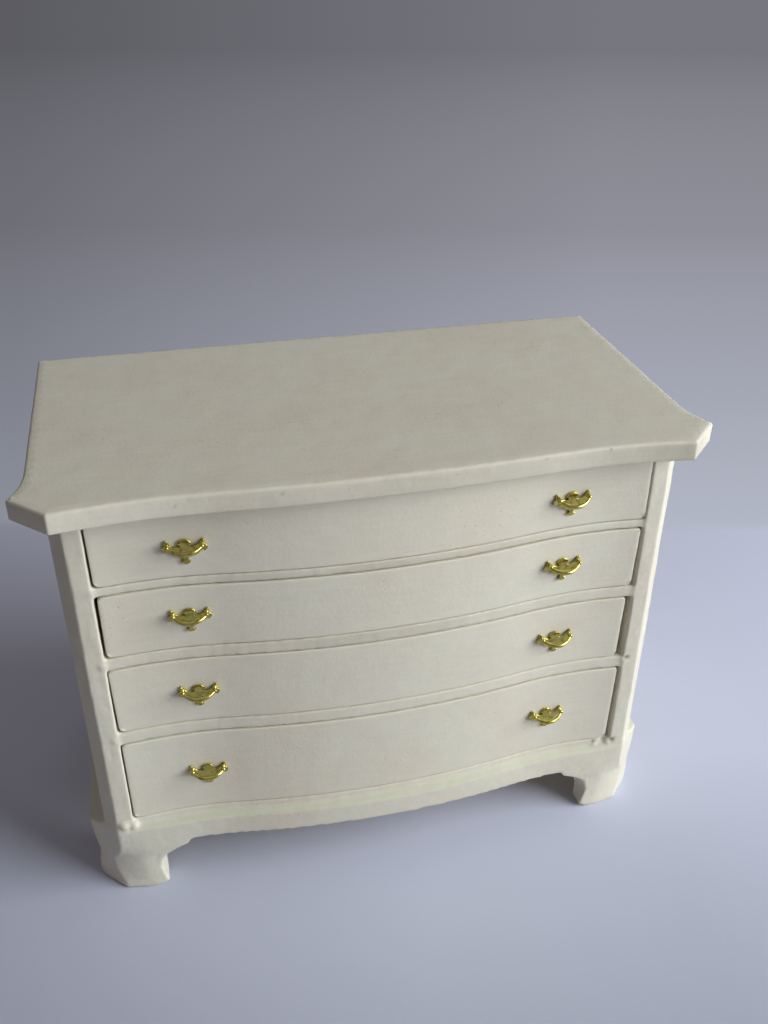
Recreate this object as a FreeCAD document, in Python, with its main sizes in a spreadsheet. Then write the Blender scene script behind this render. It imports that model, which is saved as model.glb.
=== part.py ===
"""Miniature chest of drawers with a serpentine front, in dolls' house scale.

A parametric FreeCAD model in millimetres: X along the width, Y from front to back, Z up.
The front faces -Y. The origin lies under the middle of the chest, on the surface that the
feet stand on. Every piece is drawn from the case's back plane, as depths that run towards
the front, and one Placement carries all of them to the origin.
"""
import FreeCAD, Part
import os
import re
import Sketcher

# ---------------------------------------------------------------------------------------
# Driving sizes: alias, value in mm and what it is. Each one can be changed by itself.
# ---------------------------------------------------------------------------------------
SIZES = {
    # case
    "case_width": (99.0, "outside width of the case"),
    "case_depth": (51.55, "case back to the middle of the bowed front"),
    "case_bow": (2.7, "how far the middle of the front stands out before its hollows"),
    "case_hollow_inset": (13.7, "case side to the deepest line of each hollow"),
    "case_hollow_radius": (72.3, "radius of each hollow, seen from above"),
    "case_cant": (2.15, "leg of the 45 degree cant on each front corner"),
    "stile_face": (3.0, "width of a stile's front face, beside the cant"),
    "stile_back": (7.0, "middle of the front back to the stiles' rear faces"),
    "side_thickness": (2.4, "case side"),
    "back_thickness": (1.6, "back panel"),
    # heights, from the floor up
    "plinth_height": (15.2, "floor to the top of the plinth"),
    "bottom_thickness": (2.3, "bottom board"),
    "opening_4": (17.9, "height of the lowest drawer opening"),
    "lower_divider": (2.05, "board between drawers 3 and 4"),
    "opening_3": (13.7, "height of the third drawer opening"),
    "middle_divider": (1.85, "board between drawers 2 and 3"),
    "opening_2": (12.25, "height of the second drawer opening"),
    "upper_divider": (1.25, "board between drawers 1 and 2"),
    "opening_1": (12.2, "height of the top drawer opening"),
    "top_rail_height": (1.3, "rail under the top board"),
    "top_rail_depth": (6.0, "top rail, from its hollows back"),
    # top board
    "top_thickness": (3.4, "top board"),
    "top_side_reach": (2.5, "overhang past the case on each side"),
    "top_back_reach": (0.6, "overhang past the case at the back"),
    "top_front_reach": (2.65, "overhang past the case in the middle of the front"),
    "top_bow": (1.2, "how far the middle of its front stands out before its hollows"),
    "top_hollow_inset": (16.5, "case side to the deepest line of its hollows"),
    "top_hollow_radius": (64.7, "radius of its hollows, seen from above"),
    "top_cant": (5.6, "leg of the 45 degree cant on each front corner"),
    "horn_reach": (2.05, "how far each horn stands out beyond the straight side"),
    "horn_sweep": (7.6, "length of the hollow sweep that leads out to the horn"),
    # plinth
    "plinth_front_reach": (1.2, "plinth's front past the case front"),
    "plinth_side_reach": (2.7, "plinth's sides past the case sides"),
    "plinth_cant": (4.8, "leg of the 45 degree cant on the plinth's front corners"),
    "plinth_thickness": (3.6, "aprons and feet, front to back"),
    "apron_height": (4.4, "height of the aprons between the feet"),
    "foot_width": (17.0, "length of a foot's bracket along the plinth"),
    "foot_toe": (11.9, "width of a foot where it stands"),
    "rear_return": (9.0, "width of a rear foot across the back"),
    "bracket_step": (1.0, "how far a bracket starts below the apron"),
    "bracket_knee": (3.0, "height at which a bracket's curve meets its toe"),
    "waist_height": (10.4, "height of the narrow waist of the ogee outline"),
    "waist_in": (0.35, "waist behind the plinth's face"),
    "belly_height": (6.2, "height of the swelling under the waist"),
    "belly_out": (0.55, "swelling in front of the plinth's face"),
    "toe_in": (0.45, "underside of a foot behind the plinth's face"),
    # drawers
    "front_gap": (0.3, "clearance round each drawer front"),
    "run_gap": (0.2, "clearance under each drawer"),
    "front_thickness": (3.2, "drawer front where it is thinnest, in its hollows"),
    "drawer_side": (1.6, "drawer side"),
    "drawer_back": (1.6, "drawer back"),
    "drawer_bottom": (1.2, "drawer bottom"),
    "bottom_rise": (0.6, "lower edge of the drawer sides up to the drawer bottom"),
    "side_drop": (1.2, "drawer sides lower than the drawer front"),
    "rear_gap": (1.0, "drawer back to the back panel"),
    "guide_height": (3.0, "guide strips beside the drawers"),
    # pulls
    "pull_place": (30.75, "middle of the front to the middle of a pull"),
    "pull_shift_1": (0.4, "how far to the right of their places drawer 1's pulls sit"),
    "pull_drop_1": (0.9, "middle of drawer front 1 down to the middle of its pulls"),
    "pull_drop_2": (0.1, "the same on drawer 2"),
    "pull_drop_3": (0.65, "the same on drawer 3"),
    "pull_drop_4": (0.5, "the same on drawer 4"),
    "pull_seat": (0.12, "plate in front of the hollow face, which it bridges"),
    "plate_thickness": (0.35, "back plate"),
    # the plate's outline, from the middle of the plate: x to the side, z up
    "fan_top_z": (1.8, "top of the fan"),
    "fan_radius": (1.09, "radius of the fan's edge"),
    "fan_corner_x": (1.05, "corner of the fan"),
    "fan_corner_z": (1.0, "corner of the fan"),
    "fan_foot_x": (0.68, "narrow foot of the fan"),
    "fan_foot_z": (0.78, "narrow foot of the fan"),
    "scoop_x": (0.8, "inner end of the scoop between fan and wing"),
    "scoop_z": (0.55, "inner end of the scoop between fan and wing"),
    "scoop_radius": (1.6, "radius of that scoop"),
    "wing_inner_x": (2.6, "where the scoop meets the wing's raised tip"),
    "wing_inner_z": (1.6, "where the scoop meets the wing's raised tip"),
    "wing_tip_x": (2.82, "the wing's raised tip"),
    "wing_tip_z": (1.75, "the wing's raised tip"),
    "wing_shoulder_x": (3.02, "outer side of the raised tip"),
    "wing_shoulder_z": (1.58, "outer side of the raised tip"),
    "wing_notch_x": (3.1, "notch between the raised tip and the outer lobe"),
    "wing_notch_z": (0.95, "notch between the raised tip and the outer lobe"),
    "lobe_upper_x": (3.45, "upper corner of the outer lobe"),
    "lobe_upper_z": (0.65, "upper corner of the outer lobe"),
    "lobe_outer_x": (3.6, "outermost corner of the outer lobe"),
    "lobe_outer_z": (0.15, "outermost corner of the outer lobe"),
    "lobe_lower_x": (3.45, "lower corner of the outer lobe"),
    "lobe_lower_z": (-0.3, "lower corner of the outer lobe"),
    "wing_toe_x": (3.05, "lower tip of the wing"),
    "wing_toe_z": (-0.6, "lower tip of the wing"),
    "sweep_start_x": (2.75, "outer end of the sweep below the wing"),
    "sweep_start_z": (-0.1, "outer end of the sweep below the wing"),
    "sweep_radius": (3.2, "radius of that sweep"),
    "drop_neck_x": (0.58, "neck of the drop"),
    "drop_neck_z": (-1.45, "neck of the drop"),
    "drop_side_x": (0.72, "widest place of the drop"),
    "drop_side_z": (-2.3, "widest place of the drop"),
    "drop_radius": (1.1, "radius of the drop's lower edge"),
    "drop_bottom_z": (-2.6, "lowest point of the plate"),
    # posts and bails
    "post_place": (1.65, "middle of the plate to each post"),
    "post_width": (0.5, "post, along the hinge line"),
    "post_half_height": (0.36, "hinge line to the top, the bottom and the front of a post"),
    "hinge_lift": (1.0, "middle of the plate up to the hinge line"),
    "post_reach": (0.75, "plate's face out to the hinge line"),
    "hinge_radius": (0.17, "hinge pin on each end of a bail"),
    "hinge_clearance": (0.06, "hole round a hinge pin"),
    "bail_play": (0.38, "gap between a post and the knuckle beside it"),
    "knuckle_length": (0.62, "knuckle on each end of a bail, along the hinge line"),
    "knuckle_radius": (0.33, "hinge line to the flats of a knuckle"),
    "bail_drop": (1.5, "hinge line down to the middle of the bent rod"),
    "bail_rod": (0.28, "middle of the bent rod to its skin"),
    "bail_chamfer": (0.16, "chamfer along the two front edges of the rod"),
}

doc = FreeCAD.newDocument("serpentine_chest")
sheet = doc.addObject("Spreadsheet::Sheet", "Sizes")
for row, (alias, (size, meaning)) in enumerate(SIZES.items(), start=1):
    sheet.set(f"A{row}", alias)
    sheet.set(f"B{row}", str(size))
    sheet.setAlias(f"B{row}", alias)
    sheet.set(f"C{row}", meaning)
doc.recompute()

pieces = []


# ---------------------------------------------------------------------------------------
# Expressions
# ---------------------------------------------------------------------------------------
def full(expression):
    """The expression with the sheet's name before each alias."""
    return re.sub(r"[a-z]\w*", lambda word: "Sizes." + word[0] if word[0] in SIZES else word[0],
                  str(expression))


def value(expression):
    """What an expression comes to with the sheet's present sizes."""
    return float(sheet.evalExpression(full(expression)))


def bind(thing, prop, expression):
    thing.setExpression(prop, full(expression))


class Serpentine:
    """A front edge seen from above: a bow between two hollows, as three tangent arcs."""

    def __init__(self, name, middle):
        self.middle = middle
        self.bow = f"{name}_bow"
        self.hollow_radius = f"{name}_hollow_radius"
        self.hollow = f"(case_width / 2 - {name}_hollow_inset)"
        radii = f"(({self.hollow}^2 + {self.bow}^2) / (2 * {self.bow}))"
        self.bow_radius = f"({radii} - {self.hollow_radius})"
        self.turn_x = f"({self.hollow} * {self.bow_radius} / {radii})"
        self.turn_depth = f"({middle} - {self.bow} * {self.bow_radius} / {radii})"

    def depth(self, x):
        """Depth of the edge at a distance x from the middle that lies in a hollow."""
        radius = self.hollow_radius
        return f"({self.middle} - {self.bow} + {radius} - sqrt({radius}^2 - ({x} - {self.hollow})^2))"

    def slope(self, x):
        """Change of depth with x at that distance."""
        return f"(({x} - {self.hollow}) / sqrt({self.hollow_radius}^2 - ({x} - {self.hollow})^2))"

    def corners(self, x, end=()):
        """The edge from -x to x, as corners of an outline that runs on from the last one."""
        return [(f"-{x}", f"-{self.depth(x)}", self.hollow_radius, -1),
                (f"-{self.turn_x}", f"-{self.turn_depth}", self.bow_radius, 1),
                (self.turn_x, f"-{self.turn_depth}", self.hollow_radius, -1),
                (x, f"-{self.depth(x)}", *end)]


CASE_FRONT = Serpentine("case", "case_depth")
TOP_FRONT = Serpentine("top", "(case_depth + top_front_reach)")
PLINTH_FRONT = Serpentine("case", "(case_depth + plinth_front_reach)")

CASE_HALF = "(case_width / 2)"
OPENING_HALF = f"({CASE_HALF} - case_cant - stile_face)"
INSIDE_HALF = f"({CASE_HALF} - side_thickness)"
STILE_BACK = "(case_depth - stile_back)"
TOP_HALF = f"({CASE_HALF} + top_side_reach)"
HORN_X = f"({TOP_HALF} + horn_reach)"
TOP_CORNER_X = f"({HORN_X} - top_cant)"
TOP_CORNER = TOP_FRONT.depth(TOP_CORNER_X)
PLINTH_HALF = f"({CASE_HALF} + plinth_side_reach)"

# the case's back plane, with the chest's depth centred on the origin
CASE_BACK = f"(({TOP_CORNER} - top_back_reach) / 2)"


def floors():
    """Height of the floor of each drawer opening, and of the case's top, from the bottom up."""
    heights = {}
    level = "plinth_height + bottom_thickness"
    for number, board in ((4, "lower_divider"), (3, "middle_divider"), (2, "upper_divider")):
        heights[number] = f"({level})"
        level += f" + opening_{number} + {board}"
    heights[1] = f"({level})"
    return heights, f"({level} + opening_1 + top_rail_height)"


FLOOR, CASE_TOP = floors()


# ---------------------------------------------------------------------------------------
# Building blocks
# ---------------------------------------------------------------------------------------
def new_body(name, lift="0", x="0", y=CASE_BACK):
    """A Body whose Placement carries it from the case's back plane to its place."""
    body = doc.addObject("PartDesign::Body", name)
    bind(body, "Placement.Base.x", x)
    bind(body, "Placement.Base.y", y)
    bind(body, "Placement.Base.z", lift)
    pieces.append(body)
    return body


def new_sketch(body, name, plane="XY_Plane", offset="0", side="0", rise="0", turn=0):
    """A sketch on one of the body's own planes, moved along its normal and in its plane.

    A turn in degrees swings it about its own vertical direction.
    """
    sketch = body.newObject("Sketcher::SketchObject", f"{body.Name}_{name}")
    origin_plane = next(each for each in body.Origin.OriginFeatures if each.Role == plane)
    sketch.AttachmentSupport = (origin_plane, [""])
    sketch.MapMode = "FlatFace"
    upright = FreeCAD.Vector(0, 1, 0)
    sketch.AttachmentOffset = FreeCAD.Placement(FreeCAD.Vector(), FreeCAD.Rotation(upright, turn))
    for axis, distance in (("x", side), ("y", rise), ("z", offset)):
        bind(sketch, f"AttachmentOffset.Base.{axis}", distance)
    return sketch


def arc_between(start, end, radius, turn):
    """The shorter arc from start to end: turn 1 runs counter-clockwise, -1 clockwise."""
    chord = end - start
    across = FreeCAD.Vector(-chord.y, chord.x, 0) / chord.Length
    rise = max(radius**2 - (chord.Length / 2)**2, 0.0)**0.5
    centre = (start + end) / 2 + across * rise * turn
    first, last = (start, end) if turn > 0 else (end, start)
    circle = Part.Circle(centre, FreeCAD.Vector(0, 0, 1), radius)
    return Part.ArcOfCircle(circle, circle.parameter(first), circle.parameter(last))


def outline(sketch, corners):
    """Draw a closed wire through the corners and tie each size in it to the sheet.

    A corner is (x, y), left by a straight line, or (x, y, radius, turn), left by an arc.
    """
    points = [FreeCAD.Vector(value(corner[0]), value(corner[1]), 0) for corner in corners]
    starts, ends = [], []
    for place, corner in enumerate(corners):
        start, end = points[place], points[(place + 1) % len(points)]
        if len(corner) == 2:
            edge = sketch.addGeometry(Part.LineSegment(start, end), False)
            backwards = False
        else:
            arc = arc_between(start, end, value(corner[2]), corner[3])
            edge = sketch.addGeometry(arc, False)
            backwards = corner[3] < 0
            add_constraint(sketch, "Radius", (edge,), corner[2])
        starts.append((edge, 2 if backwards else 1))
        ends.append((edge, 1 if backwards else 2))
    for place, corner in enumerate(corners):
        sketch.addConstraint(Sketcher.Constraint("Coincident", *ends[place - 1], *starts[place]))
        add_constraint(sketch, "DistanceX", (-1, 1, *starts[place]), corner[0])
        add_constraint(sketch, "DistanceY", (-1, 1, *starts[place]), corner[1])


def circle(sketch, x, y, radius):
    """Draw a circle and tie its place and radius to the sheet."""
    centre = FreeCAD.Vector(value(x), value(y), 0)
    edge = sketch.addGeometry(Part.Circle(centre, FreeCAD.Vector(0, 0, 1), value(radius)), False)
    add_constraint(sketch, "Radius", (edge,), radius)
    add_constraint(sketch, "DistanceX", (-1, 1, edge, 3), x)
    add_constraint(sketch, "DistanceY", (-1, 1, edge, 3), y)


def add_constraint(sketch, kind, places, expression):
    number = sketch.addConstraint(Sketcher.Constraint(kind, *places, value(expression)))
    bind(sketch, f"Constraints[{number}]", expression)


def pad(body, sketch, length, midplane=False, reverse=False):
    feature = body.newObject("PartDesign::Pad", f"{sketch.Name}_pad")
    feature.Profile = sketch
    feature.Midplane = midplane
    feature.Reversed = reverse
    bind(feature, "Length", length)
    return feature


def cut_through(body, sketch, midplane=False, reverse=False):
    """A Pocket through everything on the sketch's side, or on both; it must remove something."""
    doc.recompute()
    before = body.Shape.Volume
    feature = body.newObject("PartDesign::Pocket", f"{sketch.Name}_cut")
    feature.Profile = sketch
    feature.Type = "ThroughAll"
    feature.Midplane = midplane
    feature.Reversed = reverse
    doc.recompute()
    if not body.Shape.Volume < before:
        raise ValueError(f"{feature.Name} cuts nothing")
    return feature


def mirror(body, features):
    """The features again on the other side of the body's YZ plane."""
    feature = body.newObject("PartDesign::Mirrored", f"{body.Name}_mirrored")
    feature.Originals = features
    plane = next(each for each in body.Origin.OriginFeatures if each.Role == "YZ_Plane")
    feature.MirrorPlane = (plane, [""])
    body.Tip = feature
    return feature


def board(name, corners, bottom, thickness):
    """A board that is sawn to an outline: its underside at a height, and its thickness."""
    body = new_body(name, lift=bottom)
    sketch = new_sketch(body, "outline")
    outline(sketch, corners)
    pad(body, sketch, thickness)
    return body


def rectangle(x_from, x_to, depth_from, depth_to):
    """The four corners of a board with straight edges."""
    return [(x_from, f"-{depth_from}"), (x_to, f"-{depth_from}"),
            (x_to, f"-{depth_to}"), (x_from, f"-{depth_to}")]


# ---------------------------------------------------------------------------------------
# Case
# ---------------------------------------------------------------------------------------
def build_top_board():
    sweep_radius = "((horn_sweep^2 + horn_reach^2) / (2 * horn_reach))"
    tip = f"({TOP_CORNER} - top_cant)"
    straight = f"({tip} - horn_sweep)"
    corners = [(f"-{TOP_HALF}", "top_back_reach"),
               (f"-{TOP_HALF}", f"-{straight}", sweep_radius, -1),
               (f"-{HORN_X}", f"-{tip}")]
    corners += TOP_FRONT.corners(TOP_CORNER_X)
    corners += [(HORN_X, f"-{tip}", sweep_radius, -1),
                (TOP_HALF, f"-{straight}"),
                (TOP_HALF, "top_back_reach")]
    board("top_board", corners, CASE_TOP, "top_thickness")


def build_case_sides():
    height = f"({CASE_TOP} - plinth_height)"
    for name, sign in (("left_side", "-"), ("right_side", "")):
        corners = rectangle(f"{sign}{INSIDE_HALF}", f"{sign}{CASE_HALF}", "0", STILE_BACK)
        board(name, corners, "plinth_height", height)
    back = rectangle(f"-{INSIDE_HALF}", INSIDE_HALF, "0", "back_thickness")
    board("back_panel", back, "plinth_height", height)


def build_stiles():
    """Front corner posts: their faces follow the serpentine, and a cant cuts their outer corner."""
    face_end = f"({CASE_HALF} - case_cant)"
    face_depth = CASE_FRONT.depth(face_end)
    for name, sign, turn in (("left_front_stile", "-", 1), ("right_front_stile", "", -1)):
        corners = [(f"{sign}{OPENING_HALF}", f"-{STILE_BACK}"),
                   (f"{sign}{OPENING_HALF}", f"-{CASE_FRONT.depth(OPENING_HALF)}",
                    "case_hollow_radius", turn),
                   (f"{sign}{face_end}", f"-{face_depth}"),
                   (f"{sign}{CASE_HALF}", f"-({face_depth} - case_cant)"),
                   (f"{sign}{CASE_HALF}", f"-{STILE_BACK}")]
        board(name, corners, "plinth_height", f"({CASE_TOP} - plinth_height)")


def build_rails_and_dividers():
    """Boards between the drawers, whose sawn front edges show as thin serpentine rails."""
    front_edge = CASE_FRONT.corners(OPENING_HALF)
    full_board = [(f"-{INSIDE_HALF}", "-back_thickness"),
                  (f"-{INSIDE_HALF}", f"-{STILE_BACK}"),
                  (f"-{OPENING_HALF}", f"-{STILE_BACK}"),
                  *front_edge,
                  (OPENING_HALF, f"-{STILE_BACK}"),
                  (INSIDE_HALF, f"-{STILE_BACK}"),
                  (INSIDE_HALF, "-back_thickness")]
    board("bottom_board", full_board, "plinth_height", "bottom_thickness")
    for name, above, size in (("lower_drawer_divider", 3, "lower_divider"),
                              ("middle_drawer_divider", 2, "middle_divider"),
                              ("upper_drawer_divider", 1, "upper_divider")):
        board(name, full_board, f"({FLOOR[above]} - {size})", size)
    rail_back = "(case_depth - case_bow - top_rail_depth)"
    rail = [(f"-{OPENING_HALF}", f"-{rail_back}"), *front_edge, (OPENING_HALF, f"-{rail_back}")]
    board("top_rail", rail, f"({CASE_TOP} - top_rail_height)", "top_rail_height")


def build_drawer_guides():
    """Strips on each divider that fill the space between a drawer and the case side."""
    for name, start in (("left_drawer_guides", f"-{INSIDE_HALF}"),
                        ("right_drawer_guides", OPENING_HALF)):
        strips = []
        for number in sorted(FLOOR):
            strip = doc.addObject("Part::Box", f"{name}_{number}")
            bind(strip, "Length", f"{INSIDE_HALF} - {OPENING_HALF}")
            bind(strip, "Width", f"{STILE_BACK} - back_thickness")
            bind(strip, "Height", "guide_height")
            bind(strip, "Placement.Base.x", start)
            bind(strip, "Placement.Base.y", f"{CASE_BACK} - {STILE_BACK}")
            bind(strip, "Placement.Base.z", FLOOR[number])
            strips.append(strip)
        group = doc.addObject("Part::Compound", name)
        group.Links = strips
        pieces.append(group)


# ---------------------------------------------------------------------------------------
# Plinth
# ---------------------------------------------------------------------------------------
BRACKET_X = f"({PLINTH_HALF} - foot_width)"
PLINTH_CORNER_X = f"({PLINTH_HALF} - plinth_cant)"
PLINTH_CORNER = PLINTH_FRONT.depth(PLINTH_CORNER_X)
FRONT_FOOT_END = f"({PLINTH_CORNER} - foot_width)"
PLINTH_INSIDE = f"({PLINTH_HALF} - plinth_thickness)"
PLINTH_INSIDE_FRONT = "(case_depth + plinth_front_reach - case_bow - plinth_thickness)"
APRON_BOTTOM = "(plinth_height - apron_height)"
BRACKET_TOP = f"({APRON_BOTTOM} - bracket_step)"


def build_aprons():
    front = [(f"-{BRACKET_X}", f"-{PLINTH_INSIDE_FRONT}"),
             *PLINTH_FRONT.corners(BRACKET_X),
             (BRACKET_X, f"-{PLINTH_INSIDE_FRONT}")]
    board("front_apron", front, APRON_BOTTOM, "apron_height")
    for name, sign in (("left_side_apron", "-"), ("right_side_apron", "")):
        side = rectangle(f"{sign}{PLINTH_INSIDE}", f"{sign}{PLINTH_HALF}", "foot_width", FRONT_FOOT_END)
        board(name, side, APRON_BOTTOM, "apron_height")


def ogee_waste(place, outwards):
    """What is scraped off a foot's face to leave its ogee: waist, belly and toe.

    The corners run down the moulded face, which stands at a place on the sketch's
    horizontal axis, and come back outside it. Outwards is 1 or -1 along that axis.
    """
    waist_radius = "(((plinth_height - waist_height)^2 + waist_in^2) / (2 * waist_in))"
    half_height, half_out = "((waist_height - belly_height) / 2)", "((waist_in + belly_out) / 2)"
    turn_radius = f"(({half_height}^2 + {half_out}^2) / (2 * {half_out}))"
    toe_out = "(belly_out + toe_in)"
    toe_radius = f"((belly_height^2 + {toe_out}^2) / (2 * {toe_out}))"

    def at(out):
        return f"({place} + {outwards} * ({out}))"

    above, below, outside = "(plinth_height + toe_in)", "(-toe_in)", at("2 * belly_out")
    return [(at("0"), above),
            (at("0"), "plinth_height", waist_radius, outwards),
            (at("-waist_in"), "waist_height", turn_radius, outwards),
            (at(f"{half_out} - waist_in"), f"(belly_height + {half_height})", turn_radius, -outwards),
            (at("belly_out"), "belly_height", toe_radius, -outwards),
            (at("-toe_in"), "0"),
            (at("-toe_in"), below), (outside, below), (outside, above)]


def scrape_side(body, outwards):
    """The ogee along the side of a foot, straight from end to end."""
    sketch = new_sketch(body, "side_ogee", plane="XZ_Plane")
    outline(sketch, ogee_waste(f"({outwards} * {PLINTH_HALF})", outwards))
    cut_through(body, sketch, midplane=True)


def scrape_cant(body, outwards):
    """The same ogee across the 45 degree cant."""
    sketch = new_sketch(body, "cant_ogee", plane="XZ_Plane", turn=-45 * outwards,
                        offset=PLINTH_CORNER, side=f"({outwards} * {PLINTH_CORNER_X})")
    outline(sketch, ogee_waste("0", outwards))
    cut_through(body, sketch, midplane=True)


def scrape_front(body, outwards):
    """The same ogee along the hollow front, turned about the axis of the hollow."""
    axis_depth = f"({PLINTH_FRONT.middle} - {PLINTH_FRONT.bow} + {PLINTH_FRONT.hollow_radius})"
    sketch = new_sketch(body, "front_ogee", plane="YZ_Plane", side=f"(-{axis_depth})",
                        offset=f"({outwards} * {PLINTH_FRONT.hollow})")
    outline(sketch, ogee_waste(PLINTH_FRONT.hollow_radius, -1))
    turn_round(body, sketch, "V_Axis", kind="Groove")


def bracket_cut(body, name, plane, end, toe, turn):
    """Saw the bracket's curve: from the apron's end down to a straight toe, right through."""
    reach = f"({toe} - {end})"
    drop = f"({BRACKET_TOP} - bracket_knee)"
    radius = f"(({reach}^2 + {drop}^2) / (2 * abs({reach})))"
    beyond = f"({end} - 0.2 * {reach})"
    sketch = new_sketch(body, name, plane=plane)
    outline(sketch, [(beyond, "-toe_in"), (toe, "-toe_in"),
                     (toe, "bracket_knee", radius, turn),
                     (end, BRACKET_TOP), (beyond, BRACKET_TOP)])
    cut_through(body, sketch, midplane=True)


def build_front_feet():
    """Canted bracket feet with an ogee outline on the front, on the cant and on the side."""
    mitre = "((sqrt(2) - 1) * belly_out)"
    for name, sign, outwards in (("left_front_foot", "-", -1), ("right_front_foot", "", 1)):
        side = f"{sign}({PLINTH_HALF} + belly_out)"
        corners = [(f"{sign}{BRACKET_X}", f"-({PLINTH_FRONT.depth(BRACKET_X)} + belly_out)"),
                   (f"{sign}({PLINTH_CORNER_X} + {mitre})", f"-({PLINTH_CORNER} + belly_out)"),
                   (side, f"-({PLINTH_CORNER} - plinth_cant + {mitre})"),
                   (side, f"-{FRONT_FOOT_END}"),
                   (f"{sign}{PLINTH_INSIDE}", f"-{FRONT_FOOT_END}"),
                   (f"{sign}{PLINTH_INSIDE}", f"-{PLINTH_INSIDE_FRONT}"),
                   (f"{sign}{BRACKET_X}", f"-{PLINTH_INSIDE_FRONT}")]
        body = board(name, corners, "0", "plinth_height")
        scrape_side(body, outwards)
        scrape_cant(body, outwards)
        scrape_front(body, outwards)
        toe_x = f"({PLINTH_HALF} - foot_toe)"
        bracket_cut(body, "front_bracket", "XZ_Plane", f"({sign}{BRACKET_X})", f"({sign}{toe_x})",
                    outwards)
        toe_depth = f"({PLINTH_CORNER} - foot_toe)"
        bracket_cut(body, "side_bracket", "YZ_Plane", f"(-{FRONT_FOOT_END})", f"(-{toe_depth})", -1)


def build_rear_feet():
    """Plain-backed bracket feet with the same ogee outline on the side."""
    inner = f"({PLINTH_HALF} - rear_return)"
    for name, sign, outwards in (("left_rear_foot", "-", -1), ("right_rear_foot", "", 1)):
        side = f"{sign}({PLINTH_HALF} + belly_out)"
        corners = [(side, "-foot_width"), (side, "0"),
                   (f"{sign}{inner}", "0"), (f"{sign}{inner}", "-plinth_thickness"),
                   (f"{sign}{PLINTH_INSIDE}", "-plinth_thickness"),
                   (f"{sign}{PLINTH_INSIDE}", "-foot_width")]
        body = board(name, corners, "0", "plinth_height")
        scrape_side(body, outwards)
        bracket_cut(body, "side_bracket", "YZ_Plane", "(-foot_width)", "(-foot_toe)", 1)


# ---------------------------------------------------------------------------------------
# Drawers
# ---------------------------------------------------------------------------------------
DRAWER_HALF = f"({OPENING_HALF} - front_gap)"
DRAWER_INSIDE = f"({DRAWER_HALF} - drawer_side)"
FRONT_BACK = "(case_depth - case_bow - front_thickness)"
DRAWER_REAR = "(back_thickness + rear_gap)"


def build_drawer(number):
    floor, opening = FLOOR[number], f"opening_{number}"
    box_bottom = f"({floor} + run_gap)"
    side_height = f"({opening} - 2 * front_gap - side_drop)"
    front = [(f"-{DRAWER_HALF}", f"-{FRONT_BACK}"),
             *CASE_FRONT.corners(DRAWER_HALF),
             (DRAWER_HALF, f"-{FRONT_BACK}")]
    board(f"drawer_{number}_front", front, f"({floor} + front_gap)", f"({opening} - 2 * front_gap)")
    for side, sign in (("left", "-"), ("right", "")):
        corners = rectangle(f"{sign}{DRAWER_INSIDE}", f"{sign}{DRAWER_HALF}", DRAWER_REAR, FRONT_BACK)
        board(f"drawer_{number}_{side}_side", corners, box_bottom, side_height)
    panel = rectangle(f"-{DRAWER_INSIDE}", DRAWER_INSIDE, DRAWER_REAR, FRONT_BACK)
    board(f"drawer_{number}_bottom", panel, f"({box_bottom} + bottom_rise)", "drawer_bottom")
    back = rectangle(f"-{DRAWER_INSIDE}", DRAWER_INSIDE, DRAWER_REAR, f"({DRAWER_REAR} + drawer_back)")
    above_bottom = "(bottom_rise + drawer_bottom)"
    board(f"drawer_{number}_back", back, f"({box_bottom} + {above_bottom})",
          f"({side_height} - {above_bottom})")


# ---------------------------------------------------------------------------------------
# Pulls: a winged back plate with two posts, and a bail that swings on them
# ---------------------------------------------------------------------------------------
PULL_SHIFTS = {1: "pull_shift_1"}
HINGE_OUT = "(plate_thickness + post_reach)"
BAIL_SPAN = "(post_place + post_width / 2 + bail_play + knuckle_length / 2)"


def place_on_front(body, number, side, out, lift):
    """Stand a piece of a pull on the drawer front, square to the face at that place."""
    sign, shift = ("-", "-") if side == "left" else ("", "+")
    place = f"(pull_place {shift} {PULL_SHIFTS.get(number, 0)})"
    turn = f"atan({CASE_FRONT.slope(place)})"
    body.Placement.Rotation = FreeCAD.Rotation(FreeCAD.Vector(0, 0, 1), 1)
    bind(body, "Placement.Rotation.Angle", turn if side == "left" else f"-{turn}")
    distance = f"(pull_seat + {out})"
    bind(body, "Placement.Base.x", f"{sign}({place} - {distance} * sin({turn}))")
    bind(body, "Placement.Base.y",
         f"{CASE_BACK} - {CASE_FRONT.depth(place)} - {distance} * cos({turn})")
    middle = f"({FLOOR[number]} + opening_{number} / 2 - pull_drop_{number})"
    bind(body, "Placement.Base.z", f"{middle} + {lift}")


def plate_corners():
    """The winged outline: a fan on top, two upswept wings and a small drop below."""
    right = [("0", "fan_top_z", "fan_radius", -1),
             ("fan_corner_x", "fan_corner_z"),
             ("fan_foot_x", "fan_foot_z"),
             ("scoop_x", "scoop_z", "scoop_radius", 1),
             ("wing_inner_x", "wing_inner_z"),
             ("wing_tip_x", "wing_tip_z"),
             ("wing_shoulder_x", "wing_shoulder_z"),
             ("wing_notch_x", "wing_notch_z"),
             ("lobe_upper_x", "lobe_upper_z"),
             ("lobe_outer_x", "lobe_outer_z"),
             ("lobe_lower_x", "lobe_lower_z"),
             ("wing_toe_x", "wing_toe_z"),
             ("sweep_start_x", "sweep_start_z", "sweep_radius", -1),
             ("drop_neck_x", "drop_neck_z"),
             ("drop_side_x", "drop_side_z", "drop_radius", -1)]
    bottom = [("0", "drop_bottom_z", "drop_radius", -1)]
    left = []
    for place in range(len(right) - 1, 0, -1):
        x, y = right[place][:2]
        left.append((f"-({x})", y, *right[place - 1][2:]))
    return right + bottom + left


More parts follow.
